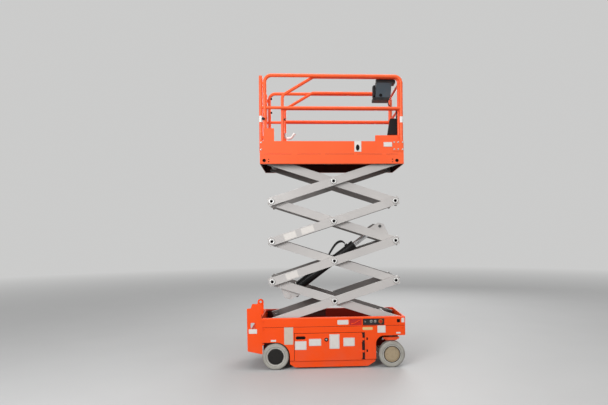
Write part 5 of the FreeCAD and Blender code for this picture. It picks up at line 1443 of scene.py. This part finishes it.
@dataclass
class ControlBox:
    """Driver's control box: joystick guard, round plug, clipped lead and screws."""

    face: float = 0.2794

    clip_z: Flat = (3.000, 2.950)
    lead_path: Tuple[Spot, ...] = (
        (0.770, -0.2050, 3.160), (0.772, -0.2080, 3.120), (0.800, -0.2300, 3.085), (0.838, -0.2600, 3.060),
        (0.8555, -0.2780, 3.020), (0.8565, -0.2855, 2.980), (0.8565, -0.2865, 2.925))

    def build(self) -> None:
        """Make the box's fittings."""
        guard = Shaper().block((0.5835, -0.2780, 3.203), (0.6085, -0.1750, 3.330), 0.006)
        guard.block((0.6260, -0.2700, 3.376), (0.8380, -0.1680, 3.424), 0.008)
        guard.piece("joystick_guard", "box_black", "extension", "box_black")
        Shaper().fitted(((0, -0.0002), (0.0195, -0.0002), (0.0195, 0.0020), (0.0175, 0.0034),
                         (0.0115, 0.0034), (0.0105, 0.0012), (0, 0.0012)),
                        (0.670, 3.2095), Side.NEAR, self.face).piece(
            "box_plug", "black_gap", "extension", "box_black")
        lead = Shaper().rod(self.lead_path, 0.0055)
        for z in self.clip_z:
            lead.block((0.8480, -0.2960, z - 0.006), (0.8690, -0.2775, z + 0.006), 0.002)
        lead.piece("clipped_lead", "box_black", "extension", "box_black")
        wall = Wall("extension", "box_black", Side.NEAR, self.face)
        wall.bolts("box_screws", [(0.623, 3.345), (0.778, 3.345), (0.628, 3.199), (0.770, 3.199)], 0.009,
                   "dark_steel")


# Studio

@dataclass
class Studio:
    """Pale floor, even sky and soft lamps."""

    pale: Colour = (0.50, 0.50, 0.497)
    far_pale: Colour = (0.60, 0.60, 0.595)
    bounce: Colour = (0.15, 0.15, 0.149)
    fill: float = 0.32
    reach: float = 40.0
    fade: Flat = (4.0, 20.0)

    def seen(self, b: Bench) -> Wire:
        """Mask of the rays that show the background: from the camera, off gloss and through glass."""
        rays = b.add("ShaderNodeLightPath")
        camera, gloss, glass = (Wire(b, rays.outputs["Is %s Ray" % kind])
                                for kind in ("Camera", "Glossy", "Transmission"))
        return camera.top(gloss).top(glass)

    def floor(self) -> None:
        """Round pale floor that keeps the shadow and fades into the background far off."""
        data = bpy.data.meshes.new("studio_floor")
        edge = [(x, y, 0.0) for x, y in circle((0, 0), self.reach, 72)]
        data.from_pydata(edge, [], [list(range(len(edge)))])
        s = Surface("studio_floor")
        x, y, _ = s.axes()
        seen = self.seen(s)
        near = s.tint(s.noise(1.2, 3.0).rise(0.3, 0.7) * 0.5, self.pale, toned(self.pale, 0.95))
        s.dress(Base_Color=s.tint(seen, self.bounce, near), Roughness=0.6, Specular_IOR_Level=0.2)
        glow = s.add("ShaderNodeEmission", None, {"Color": (*self.far_pale, 1), "Strength": 1.0})
        far = (x * x + y * y).root().rise(*self.fade) * seen
        mix = s.add("ShaderNodeMixShader", None, {0: far, 1: s.shader.outputs[0], 2: glow.outputs[0]})
        s.add("ShaderNodeOutputMaterial", {"is_active_output": True}, {"Surface": mix.outputs[0]})
        data.materials.append(s.material)
        shown("studio_floor", data)

    def sky(self) -> None:
        """Even light, seen as the pale background by the camera, gloss and glass."""
        world = bpy.data.worlds.new("studio_sky")
        bpy.context.scene.world = world
        world.use_nodes = True
        world.node_tree.nodes.clear()
        b = Bench(world.node_tree)
        dim = b.add("ShaderNodeBackground", None, {"Color": (0.97, 0.98, 1.0, 1), "Strength": self.fill})
        wall = b.add("ShaderNodeBackground", None, {"Color": (*self.far_pale, 1), "Strength": 1.0})
        both = b.add("ShaderNodeMixShader", None, {0: self.seen(b), 1: dim.outputs[0], 2: wall.outputs[0]})
        b.add("ShaderNodeOutputWorld", None, {"Surface": both.outputs[0]})

    def lamp(self, name: str, at: Spot, to: Spot, size: float, power: float, colour: Colour) -> None:
        """One soft square lamp.

        Args:
            name: Its name.
            at: Where it is.
            to: What it shines at.
            size: Its side.
            power: Its power in watts.
            colour: Its colour.
        """
        data = bpy.data.lights.new(name, "AREA")
        data.shape = "SQUARE"
        data.size = size
        data.energy = power
        data.color = colour
        obj = shown(name, data)
        obj.location = at
        obj.rotation_mode = "QUATERNION"
        obj.rotation_quaternion = (Vector(to) - Vector(at)).to_track_quat("-Z", "Y")

    def build(self) -> None:
        """Set up the floor, the sky and the lamps."""
        self.floor()
        self.sky()
        self.lamp("window_light", (-4.5, -6.5, 3.9), (0, 0, 1.1), 3.6, 520, (0.98, 0.99, 1.0))
        self.lamp("ceiling_light", (0.5, -1.0, 7.4), (0, 0, 1.0), 4.5, 230, (1.0, 0.99, 0.97))
        self.lamp("room_light", (5.0, -5.5, 3.0), (0, 0, 1.3), 3.6, 90, (1.0, 0.99, 0.98))
        self.lamp("back_light", (2.5, 6.5, 5.0), (0, 0, 1.6), 4.0, 260, (0.99, 0.995, 1.0))


@dataclass
class PhotoCamera:
    """Camera where the photograph was taken from: level, with a small shift for the photograph's frame."""

    at: Spot = (-0.217, -5.772, 1.5025)
    yaw: float = 0.0508
    roll: float = -0.0097
    focal: float = 465.41
    centre: Flat = (331.0, 239.36)
    frame_size: Flat = (608, 405)

    def build(self) -> None:
        """Set the camera up and make it the scene's."""
        ahead = Vector((math.sin(self.yaw), math.cos(self.yaw), 0))
        right = Vector((math.cos(self.yaw), -math.sin(self.yaw), 0))
        up = Vector((0, 0, 1))
        c, s = math.cos(self.roll), math.sin(self.roll)
        columns = (right * c + up * s, up * c - right * s, -ahead)
        data = bpy.data.cameras.new("photo_camera")
        data.sensor_fit = "HORIZONTAL"
        data.sensor_width = 36.0
        data.lens = 36.0 * self.focal / self.frame_size[0]
        data.shift_x = (self.frame_size[0] / 2 - self.centre[0]) / self.frame_size[0]
        data.shift_y = (self.centre[1] - self.frame_size[1] / 2) / self.frame_size[0]
        data.clip_end = 200.0
        obj = shown("photo_camera", data)
        place = Matrix([[columns[j][i] for j in range(3)] for i in range(3)]).to_4x4()
        place.translation = self.at
        obj.matrix_world = place
        bpy.context.scene.camera = obj


def main() -> None:
    """Build the studio, the camera and every sub-assembly in order."""
    logging.basicConfig(level=logging.INFO, format="%(message)s")
    bpy.context.scene.view_settings.view_transform = "Standard"
    PhotoCamera().build()
    LiftCylinder().build()
    SHOP.spray_frame(frame["nodes"])
    for assembly in (Chassis(), Doors(), Scissor(), Platform(), ControlBox(), Studio()):
        LOG.info("building %s", type(assembly).__name__)
        assembly.build()


if __name__ == "__main__":
    main()
